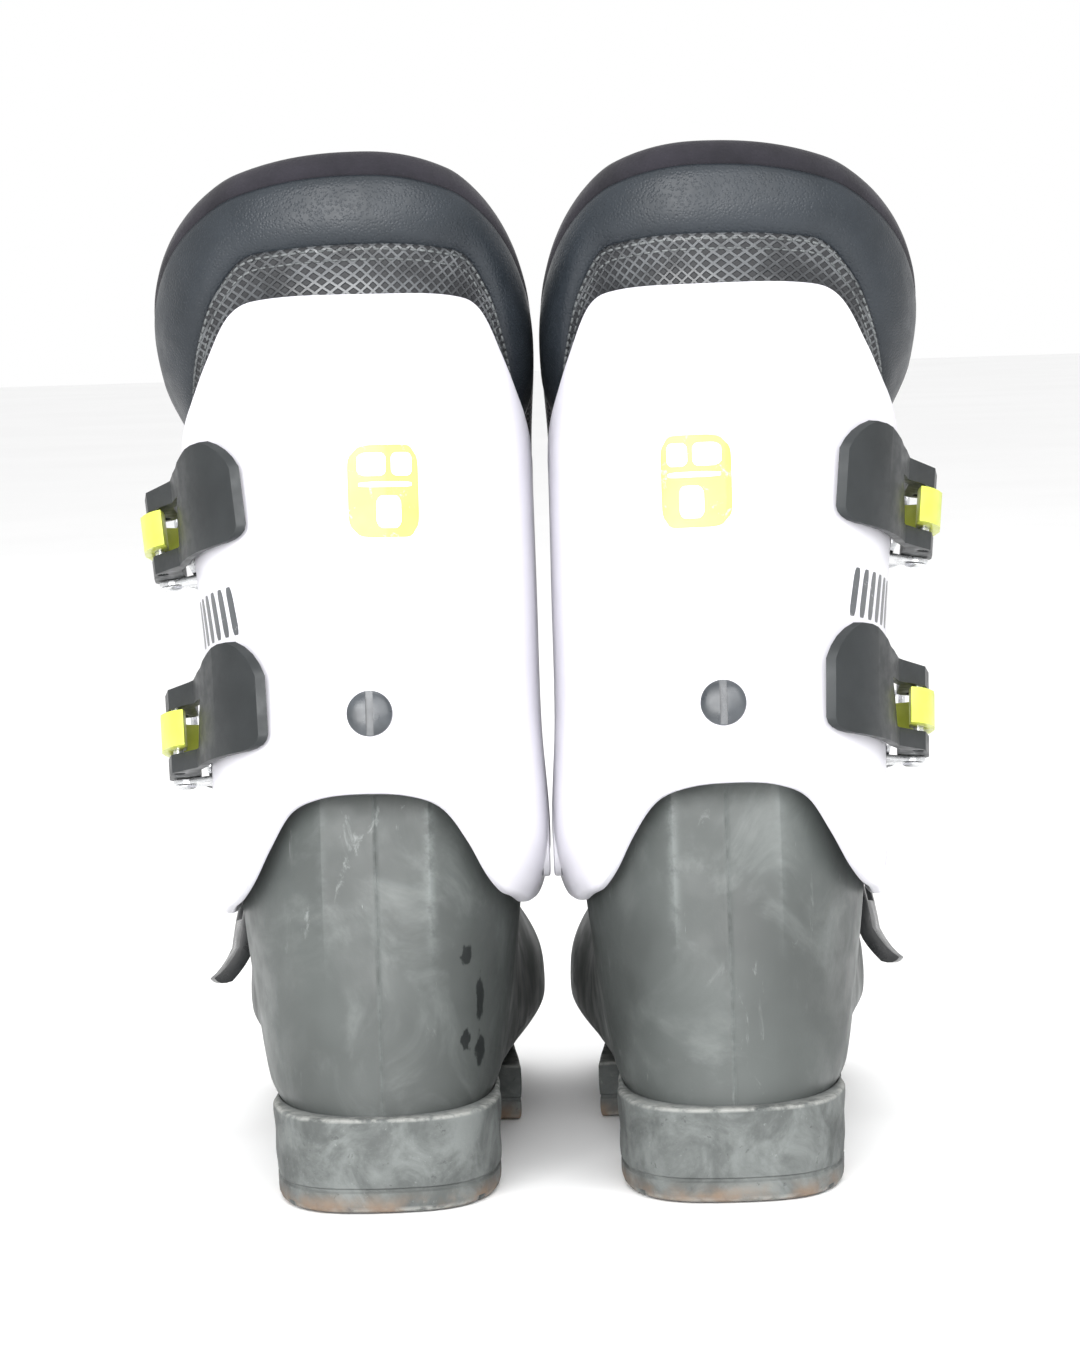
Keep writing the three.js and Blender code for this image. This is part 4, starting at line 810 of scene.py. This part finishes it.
def make_sole_block(name, side, outline, height):
    middle = outline.mean(0)
    away = unit(outline - middle)
    rings, wear, dirt = [], [], []
    for z, inset in sole_levels(height):
        ring = np.column_stack([outline - away * inset, np.full(len(outline), float(z))])
        worn = 1.0 if z > 1 else 0.4
        ring[:, :2] += away * wobble(ring, 0.3 * worn)[:, None]
        rings.append(ring)
        wear.append(np.full(len(outline), 0.9 if z < 1.5 or z > height - 0.8 else 0.0))
        dirt.append(np.full(len(outline), 0.8 * float(smooth((7 - z) / 6))))
    rings = np.array(rings)
    points, faces = closed_rings(rings)
    attributes = {
        "wear": np.concatenate([np.ravel(wear), [0.2, 0.2]]),
        "dirt": np.concatenate([np.ravel(dirt), [0.6, 0]]),
    }
    piece = new_piece(name, place(points, side), faces, [SOLE], attributes=attributes, sharp=40)
    cut(piece, shell_form(-GAP, side))
    for cutter in tread_cutters(outline, side):
        cut(piece, cutter)
    return sharpen(piece, 40)


def tread_cutters(outline, side):
    """Shallow grooves across the tread."""
    low, high = outline[:, 1].min(), outline[:, 1].max()
    count = int((high - low) // 17)
    for i in range(count):
        y = low + (i + 1) * (high - low) / (count + 1)
        yield box_cutter((-60, y - 1.6, -3), (60, y + 1.6, 1.8), side)


# ---------------------------------------------------------------- the leg's form
# The same form as the CAD cuff. Angles are 0 on the outer side, 90 in front, 180 on the inner side and 270 behind.
LEG_OUTER = curve_through(
    [(-26, 48), (0, ANKLE_HALF_WIDTH), (38, ANKLE_HALF_WIDTH + 1), (75, 54), (130, 60), (160, 66.5), (200, 68.5)]
)
LEG_INNER = curve_through(
    [(-26, 43.5), (-14, 48.2), (0, ANKLE_HALF_WIDTH + 1), (38, 49.8), (75, 49.6), (130, 49.6), (160, 51.4), (200, 51.4)]
)
LEG_FRONT = curve_through([(-26, 72), (44, 72.5), (80, 67), (130, 63), (160, 64), (200, 66)])
LEG_BACK = curve_through([(-26, 62), (8, 65.5), (40, 64), (80, 62), (130, 62), (160, 64.5), (200, 67)])
LEG_SQUARENESS = 2.35


def leg_point(angle, height, offset):
    """A point of the cuff's frame at an angle and a height, `offset` outside the cuff's outer face."""
    height, offset = np.asarray(height, float), np.asarray(offset, float)
    angle, height, offset = np.broadcast_arrays(np.radians(angle), height, offset)
    c, s = np.cos(angle), np.sin(angle)
    across = np.where(c > 0, LEG_OUTER(height), LEG_INNER(height)) + offset
    deep = np.where(s > 0, LEG_FRONT(height), LEG_BACK(height)) + offset
    power = 2 / LEG_SQUARENESS
    return np.stack([across * signed_power(c, power), deep * signed_power(s, power), height], -1)


def from_back(angle):
    return np.abs((np.mod(angle - 270, 360) + 180) % 360 - 180)


def edge(pairs, turn=0.0):
    """A height by degrees from the back, alike on both sides of its middle, which is turned by `turn` degrees
    towards the inner side."""
    height = curve_through([(-pairs[1][0], pairs[1][1]), *pairs])
    return lambda angle: height(from_back(np.asarray(angle) + turn))


SPOILER_TURN = 4
ARCH_TURN = 3
cuff_bottom = edge(
    [(0, 7.5), (13, 6.5), (24, 3), (35, -6.5), (46, -15), (57, -19.5), (67, -20.5), (86, -20.5), (107, -12),
     (130, 13), (151, 33), (176, 44)],
    -ARCH_TURN,
)
cuff_top = edge(
    [(0, 157.5), (30, 157.5), (38, 154.5), (50, 143), (66, 131), (90, 121), (120, 126), (150, 132), (180, 134)],
    SPOILER_TURN,
)
collar_bottom = edge([(0, 29), (90, 48), (180, 84)])
collar_top = edge([(0, 201), (30, 197), (45, 191), (60, 182.5), (75, 172), (90, 162), (120, 152), (150, 147)])
mesh_seam = edge(
    [(0, 173), (22, 172.5), (34, 171), (44, 163), (55, 151.5), (66, 141.5), (80, 131), (95, 125), (120, 129.5),
     (150, 135)],
    SPOILER_TURN,
)
rim_depth = edge([(0, 7.5), (50, 6.5), (90, 5), (180, 4.5)])

INNER_FLAP_END = 126
OUTER_FLAP_END = 36 - 360


def flap_offset(running):
    return FLAP_STEP * smooth((-178 - running) / 44)


def sweep(angles, loop, name, side, materials, slots_by_row=None, sharp=50, end_rounding=0.0):
    """A closed band round the leg. loop(angle) gives a closed outline [row][height, offset] at that angle, and the
    outline shrinks towards its middle over the last `end_rounding` degrees at each end of the band."""
    outlines = np.array([loop(a) for a in angles])
    middle = outlines.mean(1, keepdims=True)
    if end_rounding:
        from_end = np.minimum(np.abs(angles - angles[0]), np.abs(angles - angles[-1])) / end_rounding
        scale = np.sqrt(1 - (1 - clamp01(from_end)) ** 2)
        scale = np.maximum(scale, 0.12)[:, None]
        outlines[..., 1] = middle[..., 1] + (outlines[..., 1] - middle[..., 1]) * scale
    points = leg_point(np.asarray(angles)[:, None], outlines[..., 0], outlines[..., 1])
    columns, rows = outlines.shape[:2]
    lengths = np.concatenate([[0], np.cumsum(np.linalg.norm(np.diff(points[:, 0], axis=0), axis=-1))])
    surface = np.broadcast_arrays(lengths[:, None] * MM, outlines[..., 0] * MM, outlines[..., 1] * MM)
    surface = np.stack(surface, -1)
    faces = grid_faces(columns, rows, closed_columns=True).tolist()
    faces.append(list(range(rows))[::-1])
    faces.append([(columns - 1) * rows + i for i in range(rows)])
    slots = None
    if slots_by_row is not None:
        slots = list(np.tile(slots_by_row, columns - 1)) + [slots_by_row[0], slots_by_row[0]]
    return new_piece(
        name, place(from_cuff(points.reshape(-1, 3)), side), faces, materials, slots,
        {"surface": surface.reshape(-1, 3), "wear": np.zeros(columns * rows)}, sharp,
    )


def rounded_outline(bottom, top, inner, outer, radius, rows):
    """A closed outline of a thin wall with rounded edges: up its outside, over the top and down its inside."""
    quarter = np.linspace(0, np.pi / 2, 5)[1:-1]
    up = np.linspace(bottom + radius, top - radius, rows)
    over = [(top - radius + radius * math.sin(q), outer - radius + radius * math.cos(q)) for q in quarter]
    back = [(top - radius + radius * math.cos(q), inner + radius - radius * math.sin(q)) for q in quarter]
    under = [(bottom + radius - radius * math.sin(q), inner + radius - radius * math.cos(q)) for q in quarter]
    front = [(bottom + radius - radius * math.cos(q), outer - radius + radius * math.sin(q)) for q in quarter]
    return (
        [(h, outer) for h in up] + over + [(top, outer - radius), (top, inner + radius)] + back
        + [(h, inner) for h in up[::-1]] + under + [(bottom, inner + radius), (bottom, outer - radius)] + front
    )


# ---------------------------------------------------------------- parts of the cuff
def cuff_loop(running):
    step = float(flap_offset(running))
    bottom, top = float(cuff_bottom(running)), float(cuff_top(running))
    return rounded_outline(bottom, top, step - CUFF_WALL, step, 1.3, 44)


def drill(piece, radius, depth, matrix, side, sides=48):
    """Cuts a round hole in a piece of the cuff, from the frame's origin along its third axis."""
    points, faces = turned([(0, 0), (radius, 0), (radius, depth), (0, depth)], matrix, sides)
    cut(piece, new_piece("cutter", place(from_cuff(points), side), faces, []))


def make_cuff(name, side):
    ends = np.array([0, 0.25, 0.6, 1.1, 1.7])
    between = np.linspace(INNER_FLAP_END - 2.4, OUTER_FLAP_END + 2.4, 300)
    angles = np.concatenate([INNER_FLAP_END - ends, between, (OUTER_FLAP_END + ends)[::-1]])
    piece = sweep(angles, cuff_loop, name, side, [WHITE], sharp=50, end_rounding=1.7)
    seat = PIVOT_HEAD_THICKNESS + GAP
    for face, out in ((float(LEG_OUTER(0)), 1), (-float(LEG_INNER(0)), -1)):
        for radius, depth in ((PIVOT_HEAD_RADIUS, seat), (PIVOT_SHANK_RADIUS, 20)):
            drill(piece, radius + GAP, 40, axis_frame((face - out * depth, 0, 0), (out, 0, 0)), side, 64)
    matrix = axis_frame((0, -40, SPINE_SCREW_HEIGHT), (0, -1, 0))
    drill(piece, SPINE_SCREW_RADIUS - SCREW_SHOULDER + GAP, 50, matrix, side)
    return sharpen(piece, 45)


def make_pivot(name, side, out):
    face = float(LEG_OUTER(0)) if out > 0 else float(LEG_INNER(0))
    depth = face - ANKLE_SHELL_HALF_WIDTH + SHELL_WALL
    radius, thick, shank = PIVOT_HEAD_RADIUS, PIVOT_HEAD_THICKNESS, PIVOT_SHANK_RADIUS
    profile = [
        (0, -0.25), (3.2, -0.25), (3.6, -0.02), (radius - 1.5, 0), (radius - 0.6, -0.1), (radius - 0.15, -0.4),
        (radius, -0.9), (radius, -thick), (shank, -thick), (shank, -depth + 0.6), (shank - 0.6, -depth), (0, -depth),
    ]
    points, faces = turned(profile, axis_frame((out * face, 0, 0), (out, 0, 0)), 72)
    return new_piece(name, place(from_cuff(points), side), faces, [PIVOT_WHITE], sharp=35)


def make_spine_screw(name, side):
    face = float(LEG_BACK(SPINE_SCREW_HEIGHT)) + GAP
    r = SPINE_SCREW_RADIUS
    dome = [(r * math.cos(a), 0.7 + 1.9 * math.sin(a)) for a in np.linspace(0, 1.45, 9)]
    shank, end = r - SCREW_SHOULDER, -CUFF_WALL - 0.4
    profile = [(0, 2.6)] + dome[::-1] + [(r, 0.35), (r - 0.3, 0), (shank, 0), (shank, end), (0, end)]
    matrix = axis_frame((0, -face, SPINE_SCREW_HEIGHT), (0, -1, 0))
    points, faces = turned(profile, matrix, 64)
    piece = new_piece(name, place(from_cuff(points), side), faces, [SCREW], sharp=40)
    slot_low = (-SCREW_SLOT_HALF_WIDTH, -face - 5, SPINE_SCREW_HEIGHT - 9)
    slot_high = (SCREW_SLOT_HALF_WIDTH, -face - 1.1, SPINE_SCREW_HEIGHT + 9)
    corners, faces = box_solid(slot_low, slot_high)
    cut(piece, new_piece("cutter", place(from_cuff(corners), side), faces, []))
    return sharpen(piece, 40)


# ---------------------------------------------------------------- the liner
COLLAR_SWELL = 4.2
SEAM_DEPTH = 0.9


def collar_outside(angle, height):
    """Offset of the collar's outer face, which swells out above the cuff's edge."""
    return -CUFF_WALL - LINER_GAP + COLLAR_SWELL * smooth((height - cuff_top(angle) - 1.5) / 22)


def collar_loop(angle):
    bottom, rim_top = float(collar_bottom(angle)), float(collar_top(angle))
    clear, seam = float(cuff_top(angle)) - 2, float(mesh_seam(angle))
    rim = rim_top - float(rim_depth(angle))
    seam = min(seam, rim - 6)
    outline = []

    def face(low, high, rows, pillow=0.0):
        for s in np.linspace(0, 1, rows):
            h = mix(low, high, s)
            outline.append((h, float(collar_outside(angle, h)) + pillow * (4 * s * (1 - s)) ** 0.5))

    def groove(height):
        outline.append((height, float(collar_outside(angle, height)) - SEAM_DEPTH))

    face(bottom + 2, clear, 5)
    face(clear + 0.4, seam - 0.9, 10)
    groove(seam)
    face(seam + 0.9, rim - 0.6, 14, 1.3)
    groove(rim)
    outside = float(collar_outside(angle, rim)) + 0.2
    half = 0.36 * LINER_WALL
    for q in np.linspace(0.12, np.pi - 0.1, 13):
        height = rim + 0.4 + (rim_top - rim - 0.4) * math.sin(q) ** 0.8
        outline.append((height, outside - half + half * math.cos(q)))
    inside = outside - 2 * half
    deep = float(collar_outside(angle, bottom)) - LINER_WALL
    for s in np.linspace(0, 1, 14):
        h = mix(rim - 1.5, bottom + 2, s)
        outline.append((h, mix(inside, deep, float(smooth(s / 0.5)))))
    outline += [(bottom + 0.3, deep + 1.6), (bottom, deep + 3.5), (bottom + 0.3, deep + 5.4)]
    return outline


# Faces of the collar by row of its outline: 0 lining, 1 mesh band, 2 leather, 3 rim textile.
COLLAR_ROWS = [0] * 4 + [1] * 11 + [2] * 15 + [3] * 18 + [0] * 13
COLLAR_START = 90 - TONGUE_HALF_ANGLE - 1
COLLAR_END = 91 + TONGUE_HALF_ANGLE - 360


def make_collar(name, side):
    angles = np.linspace(COLLAR_START, COLLAR_END, 260)
    rows = len(collar_loop(0))
    slots = (COLLAR_ROWS + [0] * rows)[:rows]
    piece = sweep(angles, collar_loop, name, side, [LINING, MESH, LEATHER, RIM], slots, 60, 3.0)
    return piece


def collar_stitches(name, side, drop, length, gap, radius):
    """Raised stitches, `drop` below the seam between the mesh band and the leather."""
    angles = np.linspace(8, -188, 1600)
    height = np.minimum(mesh_seam(angles), collar_top(angles) - rim_depth(angles) - 6) - drop
    line = leg_point(angles, height, collar_outside(angles, height) + 0.15)
    shown = height > cuff_top(angles) + 0.3
    lengths = np.concatenate([[0], np.cumsum(np.linalg.norm(np.diff(line, axis=0), axis=-1))])
    parts = []
    centre = leg_point(angles, height, -60)
    for start in np.arange(2, lengths[-1] - length, length + gap):
        i, j = np.searchsorted(lengths, [start, start + length])
        if not shown[i : j + 1].all():
            continue
        a, b = line[i], line[j]
        out = unit(a - centre[i])
        direction = unit(b - a)
        shape = ((0, 0), (0.75, 0.08), (1, 0.3), (1, 0.7), (0.75, 0.92), (0, 1))
        profile = [(wide * radius, far * length) for wide, far in shape]
        aside = np.cross(direction, out)
        matrix = basis(aside, np.cross(direction, aside), direction, a - 0.25 * radius * out)
        parts.append(turned(profile, matrix, 8))
    points, faces = joined(parts)
    return new_piece(name, place(from_cuff(points), side), faces, [THREAD], sharp=80)


def tongue_loop(angle):
    bottom, clear = float(collar_bottom(angle)) + 1, float(cuff_top(angle)) + 1.5
    wall, swell = LINER_WALL + 2, 6

    def outside(h):
        return -CUFF_WALL - LINER_GAP + swell * float(smooth((h - clear) / 22))

    outline = [(h, outside(h)) for h in np.linspace(bottom + 2, TONGUE_TOP - 9, 34)]
    outline.append((TONGUE_TOP - 8, outside(TONGUE_TOP - 8) - 0.9))
    top = outside(TONGUE_TOP - 8)
    half = 0.36 * wall
    for q in np.linspace(0.15, np.pi - 0.1, 12):
        outline.append((TONGUE_TOP - 7 + 7 * math.sin(q) ** 0.8, top - half + half * math.cos(q)))
    deep = outside(bottom) - wall
    for s in np.linspace(0, 1, 16):
        outline.append((mix(TONGUE_TOP - 9, bottom + 2, s), mix(top - 2 * half, deep, float(smooth(s / 0.5)))))
    return outline + [(bottom + 0.4, deep + 2), (bottom, deep + 4.5), (bottom + 0.4, deep + 7)]


def make_tongue(name, side):
    angles = np.linspace(90 + TONGUE_HALF_ANGLE, 90 - TONGUE_HALF_ANGLE, 70)
    rows = len(tongue_loop(90))
    slots = ([2] * 35 + [3] * 13 + [0] * rows)[:rows]
    piece = sweep(angles, tongue_loop, name, side, [LINING, MESH, LEATHER, RIM], slots, 60, 4.5)
    return piece


def make_liner_foot(name, side):
    outer = SHELL_WALL + LINER_GAP
    floor = BOARD_TOP + GAP
    top = 13 / 14
    piece = shell_form(outer, side, top)
    piece.name = name
    cut(piece, box_cutter((-90, -200, -5), (90, 200, floor), side))
    hollow = shell_form(outer + LINER_WALL, side, top, (0, 6, 30))
    cut(hollow, box_cutter((-90, -200, -5), (90, 200, floor + LINER_SOLE), side))
    cut(piece, hollow)
    piece.data.materials.clear()
    piece.data.materials.append(LINING)
    return sharpen(piece, 50)


def strap_loop(angle):
    step = FLAP_STEP if angle <= 90 else float(flap_offset(angle - 360))
    seat = 0.5 + step
    return rounded_outline(STRAP_BOTTOM, STRAP_BOTTOM + STRAP_WIDTH, seat, seat + STRAP_THICKNESS, 1.0, 16)


def make_strap(name, side):
    return sweep(np.linspace(32, 150, 110), strap_loop, name, side, [STRAP], sharp=60, end_rounding=1.6)


# ---------------------------------------------------------------- marks
def rounded_patch(low, high, slant=0.0, count=9):
    """A grid of points on the unit square's rounded form, scaled between two corners and slanted sideways."""
    u, v = np.meshgrid(np.linspace(-1, 1, count), np.linspace(-1, 1, count))
    x = u * np.sqrt(1 - 0.28 * v**8)
    y = v * np.sqrt(1 - 0.28 * u**8)
    middle, half = (np.array(low) + np.array(high)) / 2, (np.array(high) - np.array(low)) / 2
    return np.stack([middle[0] + x * half[0] + slant * y * half[1], middle[1] + y * half[1]], -1)


def film(patches, surface_point, thickness):
    """A thin closed film for each patch of [across, up] points. surface_point(across, up, offset) lays it down."""
    parts = []
    for patch in patches:
        rows, columns = patch.shape[:2]
        layers = [surface_point(patch[..., 0], patch[..., 1], t).reshape(-1, 3) for t in (thickness, -0.02)]
        count = rows * columns
        top = grid_faces(rows, columns)
        faces = top.tolist() + (top[:, ::-1] + count).tolist()
        index = np.arange(count).reshape(rows, columns)
        border = np.concatenate([index[0, :-1], index[:-1, -1], index[-1, :0:-1], index[:0:-1, 0]])
        for i, a in enumerate(border):
            b = border[(i + 1) % len(border)]
            faces.append([a, b, b + count, a + count])
        parts.append((np.vstack(layers), faces))
    return joined(parts)


def on_leg(angle, height):
    """Lays patches on the cuff round a point of it: across in millimetres round the leg, up along it."""
    def surface_point(across, up, offset):
        span = np.linalg.norm(leg_point(angle + 1, height, 0) - leg_point(angle - 1, height, 0)) / 2
        return leg_point(angle + across / span, height + up, flap_offset(-90) + offset)

    return surface_point


def make_size_label(names, side):
    """A rubbed yellow label on the back of the cuff, with plain bars in place of print."""
    at = on_leg(-96, 98)
    label_points, label_faces = film([rounded_patch((-9.6, -14), (9.6, 14), 0, 21)], at, 0.12)
    bars = [
        rounded_patch((-7.4, 4.6), (-0.8, 11.6)), rounded_patch((0.8, 4.6), (7.4, 11.6)),
        rounded_patch((-7.2, 1.2), (7.2, 2.8)), rounded_patch((-3.6, -11.2), (3.6, -1.4)),
    ]
    bar_points, bar_faces = film(bars, lambda a, u, t: at(a, u, t + 0.12), 0.06)
    return [
        new_piece(names[0], place(from_cuff(label_points), side), label_faces, [LABEL], sharp=60),
        new_piece(names[1], place(from_cuff(bar_points), side), bar_faces, [LABEL_WHITE], sharp=60),
    ]


def make_cuff_bars(name, side):
    """A row of slanted grey bars between the buckles, on the cuff's outer side."""
    at = on_leg(-27, 66)
    bars = [rounded_patch((-17 + 5.8 * i, -7.5), (-13.6 + 5.8 * i, 7.5), 0.2) for i in range(6)]
    points, faces = film(bars, at, 0.08)
    return new_piece(name, place(from_cuff(points), side), faces, [LABEL_GREY], sharp=60)


# ---------------------------------------------------------------- buckles
def refined(node, material, width, body, highlight_material=None):
    """The CAD node's solid with its flat faces joined and its edges bevelled, as a piece that stands for it."""
    mesh = bpy.data.meshes.new(node + "_refined")
    work = bmesh.new()
    work.from_mesh(frame["nodes"][node].data)
    bmesh.ops.remove_doubles(work, verts=work.verts, dist=2e-6)
    bmesh.ops.dissolve_limit(work, angle_limit=math.radians(1.5), verts=work.verts, edges=work.edges)
    sharp = [e for e in work.edges if len(e.link_faces) == 2 and e.calc_face_angle(0) > math.radians(24)]
    # Bevel faces take the second material when one is given; for the levers it is lighter, a painted highlight on the
    # edges.
    bmesh.ops.bevel(
        work, geom=sharp, offset=width * MM, segments=2, profile=0.6, affect="EDGES", clamp_overlap=True,
        material=1 if highlight_material else -1,
    )
    bmesh.ops.recalc_face_normals(work, faces=work.faces)
    work.to_mesh(mesh)
    work.free()
    mesh.materials.clear()
    mesh.materials.append(material)
    if highlight_material:
        mesh.materials.append(highlight_material)
    piece = bpy.data.objects.new(node + "_refined", mesh)
    bpy.context.scene.collection.objects.link(piece)
    sharpen(piece, 32)
    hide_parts(node)
    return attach(piece, body)


def rod_of(node):
    """Middle, direction, length and radius of a CAD rod, from its own points."""
    co = np.array([v.co for v in frame["nodes"][node].data.vertices]) / MM
    centre = (co.min(0) + co.max(0)) / 2
    direction = np.linalg.svd(co - co.mean(0), full_matrices=False)[2][0]
    reach = (co - co.mean(0)) @ direction
    middle = co.mean(0) + direction * (reach.max() + reach.min()) / 2
    across = np.linalg.norm(np.cross(co - middle, direction), axis=1)
    return middle, direction, reach.max() - reach.min(), across.min(), across.max()


def smooth_rod(node, material, body, headed):
    """A turned pin in a CAD pin's place, with domed heads if it is headed."""
    middle, direction, length, shank, head = rod_of(node)
    half = length / 2
    if headed:
        outer = 1.1
        dome = ((0, 0), (0.45, 0.06), (0.8, 0.35), (0.97, 0.75), (1, outer))
        end = [(wide * head, half - low) for wide, low in dome]
        profile = end + [(shank, half - outer - 0.05)]
    else:
        profile = [(0, half), (head - 0.4, half), (head, half - 0.4)]
    profile = profile + [(r, -z) for r, z in profile[::-1]]
    points, faces = turned(profile, axis_frame(middle, direction), 32)
    piece = new_piece(node + "_turned", points, faces, [material], sharp=40)
    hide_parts(node)
    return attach(piece, body)


def smooth_wire(node, material, body):
    """The CAD wire loop, rounded by a subdivision surface."""
    mesh = bpy.data.meshes.new(node + "_wire")
    work = bmesh.new()
    work.from_mesh(frame["nodes"][node].data)
    bmesh.ops.remove_doubles(work, verts=work.verts, dist=2e-6)
    bmesh.ops.join_triangles(work, faces=work.faces, angle_face_threshold=3.0, angle_shape_threshold=3.0)
    work.to_mesh(mesh)
    work.free()
    mesh.materials.clear()
    mesh.materials.append(material)
    mesh.shade_smooth()
    piece = bpy.data.objects.new(node + "_wire", mesh)
    bpy.context.scene.collection.objects.link(piece)
    piece.modifiers.new("round", "SUBSURF").levels = 2
    piece.modifiers["round"].render_levels = 2
    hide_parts(node)
    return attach(piece, body)


# ---------------------------------------------------------------- the pair
def fit(piece, node, body):
    """Lets a piece stand for a CAD node and move with a body."""
    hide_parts(node)
    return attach(piece, body)


def build_boot(name, side):
    shell_body, cuff_body = name + "_shell", name + "_upper_cuff"

    def part(suffix):
        return f"{name}_{suffix}"

    fit(make_lower_shell(part("shell_detailed"), side), part("lower_shell"), shell_body)
    heel = sole_outline(HEEL_BLOCK_LENGTH, SOLE_END_WIDTH, HEEL_BLOCK_INNER_WIDTH, -1)
    toe = sole_outline(TOE_BLOCK_LENGTH, SOLE_END_WIDTH, BALL_SOLE_WIDTH, 1)
    fit(make_sole_block(part("heel_block"), side, heel, HEEL_HIGH[2]), part("heel_sole"), shell_body)
    fit(make_sole_block(part("toe_block"), side, toe, TOE_HIGH[2]), part("toe_sole"), shell_body)
    fit(make_liner_foot(part("inner_boot"), side), part("liner_foot"), shell_body)
    fit(make_cuff(part("cuff_detailed"), side), part("cuff"), cuff_body)
    fit(make_pivot(part("pivot_outer_turned"), side, 1), part("pivot_outer"), cuff_body)
    fit(make_pivot(part("pivot_inner_turned"), side, -1), part("pivot_inner"), cuff_body)
    fit(make_spine_screw(part("spine_screw_turned"), side), part("spine_screw"), cuff_body)
    fit(make_collar(part("collar"), side), part("liner_collar"), cuff_body)
    fit(make_tongue(part("tongue_padded"), side), part("tongue"), cuff_body)
    fit(make_strap(part("strap_woven"), side), part("power_strap"), cuff_body)
    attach(collar_stitches(part("stitches_upper"), side, 1.7, 2.1, 0.7, 0.42), cuff_body)
    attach(collar_stitches(part("stitches_lower"), side, 4.6, 2.1, 0.7, 0.34), cuff_body)
    for piece in make_size_label([part("size_label"), part("size_label_bars")], side):
        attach(piece, cuff_body)
    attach(make_cuff_bars(part("cuff_bars"), side), cuff_body)
    for buckle in ("upper", "lower"):
        latch, hook = part(buckle + "_latch"), part(buckle + "_hook")
        refined(part(buckle + "_base"), STEEL, 0.25, cuff_body)
        refined(part(buckle + "_ladder"), LEVER, 0.3, cuff_body)
        # The lever's bevels take the lighter edge material, a painted highlight.
        refined(part(buckle + "_lever"), LEVER, 0.8, latch, LEVER_EDGE_HIGHLIGHT)
        refined(part(buckle + "_link"), NEON, 1.3, hook)
        smooth_rod(part(buckle + "_pin"), STEEL, cuff_body, True)
        smooth_rod(part(buckle + "_link_pin"), STEEL, latch, False)
        smooth_wire(part(buckle + "_bail"), STEEL, hook)
    refined(part("instep_base"), STEEL, 0.25, shell_body)
    refined(part("instep_ladder"), BLACK, 0.3, shell_body)
    refined(part("instep_lever"), BLACK, 0.5, part("instep_latch"))
    smooth_wire(part("instep_bail"), STEEL, part("instep_hook"))
    board = frame["nodes"][part("boot_board")]
    board.data.materials.clear()
    board.data.materials.append(BOARD)


build_boot("right", 1)
build_boot("left", -1)


# ---------------------------------------------------------------- the studio
TARGET = Vector((-0.002, -0.060, 0.1506))
CAMERA_DISTANCE = 1.459
CAMERA_YAW, CAMERA_PITCH, CAMERA_ROLL = (math.radians(a) for a in (-0.33, 4.85, -1.82))
CAMERA_LENS = 126.0


def make_camera():
    camera = bpy.data.objects.new("camera", bpy.data.cameras.new("camera"))
    bpy.context.scene.collection.objects.link(camera)
    level = math.cos(CAMERA_PITCH)
    back = Vector((-math.sin(CAMERA_YAW) * level, -math.cos(CAMERA_YAW) * level, math.sin(CAMERA_PITCH)))
    camera.location = TARGET + back * CAMERA_DISTANCE
    camera.rotation_mode = "QUATERNION"
    roll = Matrix.Rotation(CAMERA_ROLL, 3, "Z").to_quaternion()
    camera.rotation_quaternion = (-back).to_track_quat("-Z", "Y") @ roll
    camera.data.lens = CAMERA_LENS
    camera.data.clip_start, camera.data.clip_end = 0.05, 50
    bpy.context.scene.camera = camera


def make_floor():
    mesh = bpy.data.meshes.new("floor")
    reach = 12
    corners = [(-reach, -reach, 0), (reach, -reach, 0), (reach, reach, 0), (-reach, reach, 0)]
    mesh.from_pydata(corners, [], [(0, 1, 2, 3)])
    m = Shade("floor_paper", 0.9)
    m.set(Base_Color=m.blend(m.band(m.noise(0.4, 3), 0.3, 0.7), (0.9, 0.9, 0.9), (0.92, 0.92, 0.92)))
    mesh.materials.append(m.material)
    floor = bpy.data.objects.new("floor", mesh)
    bpy.context.scene.collection.objects.link(floor)
    floor.location.z = -0.0005
    floor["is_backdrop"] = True


# Name, place, width and power of each lamp, which all look at the middle of the pair.
LIGHTS = (
    ("key", (-0.5, -2.3, 1.0), 1.5, 75),
    ("fill", (1.0, -2.2, 1.6), 1.5, 36),
    ("top", (0, 0.2, 2.2), 1.6, 16),
)
LIGHT_TARGET = Vector((0, -0.03, 0.15))


def area_light(name, place_at, size, power):
    light = bpy.data.lights.new(name, "AREA")
    light.shape = "SQUARE"
    light.size = size
    light.energy = power
    lamp = bpy.data.objects.new(name, light)
    bpy.context.scene.collection.objects.link(lamp)
    lamp.location = place_at
    lamp.rotation_mode = "QUATERNION"
    lamp.rotation_quaternion = (LIGHT_TARGET - Vector(place_at)).to_track_quat("-Z", "Y")


def make_studio():
    world = bpy.data.worlds.new("studio")
    bpy.context.scene.world = world
    world.use_nodes = True
    background = world.node_tree.nodes["Background"]
    background.inputs["Color"].default_value = (1, 1, 1, 1)
    background.inputs["Strength"].default_value = 1.0
    for light in LIGHTS:
        area_light(*light)
    bpy.context.scene.view_settings.view_transform = "Standard"


make_camera()
make_floor()
make_studio()

corners = [[list(corner) for corner in box] for box in (CAD_BOX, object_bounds())]
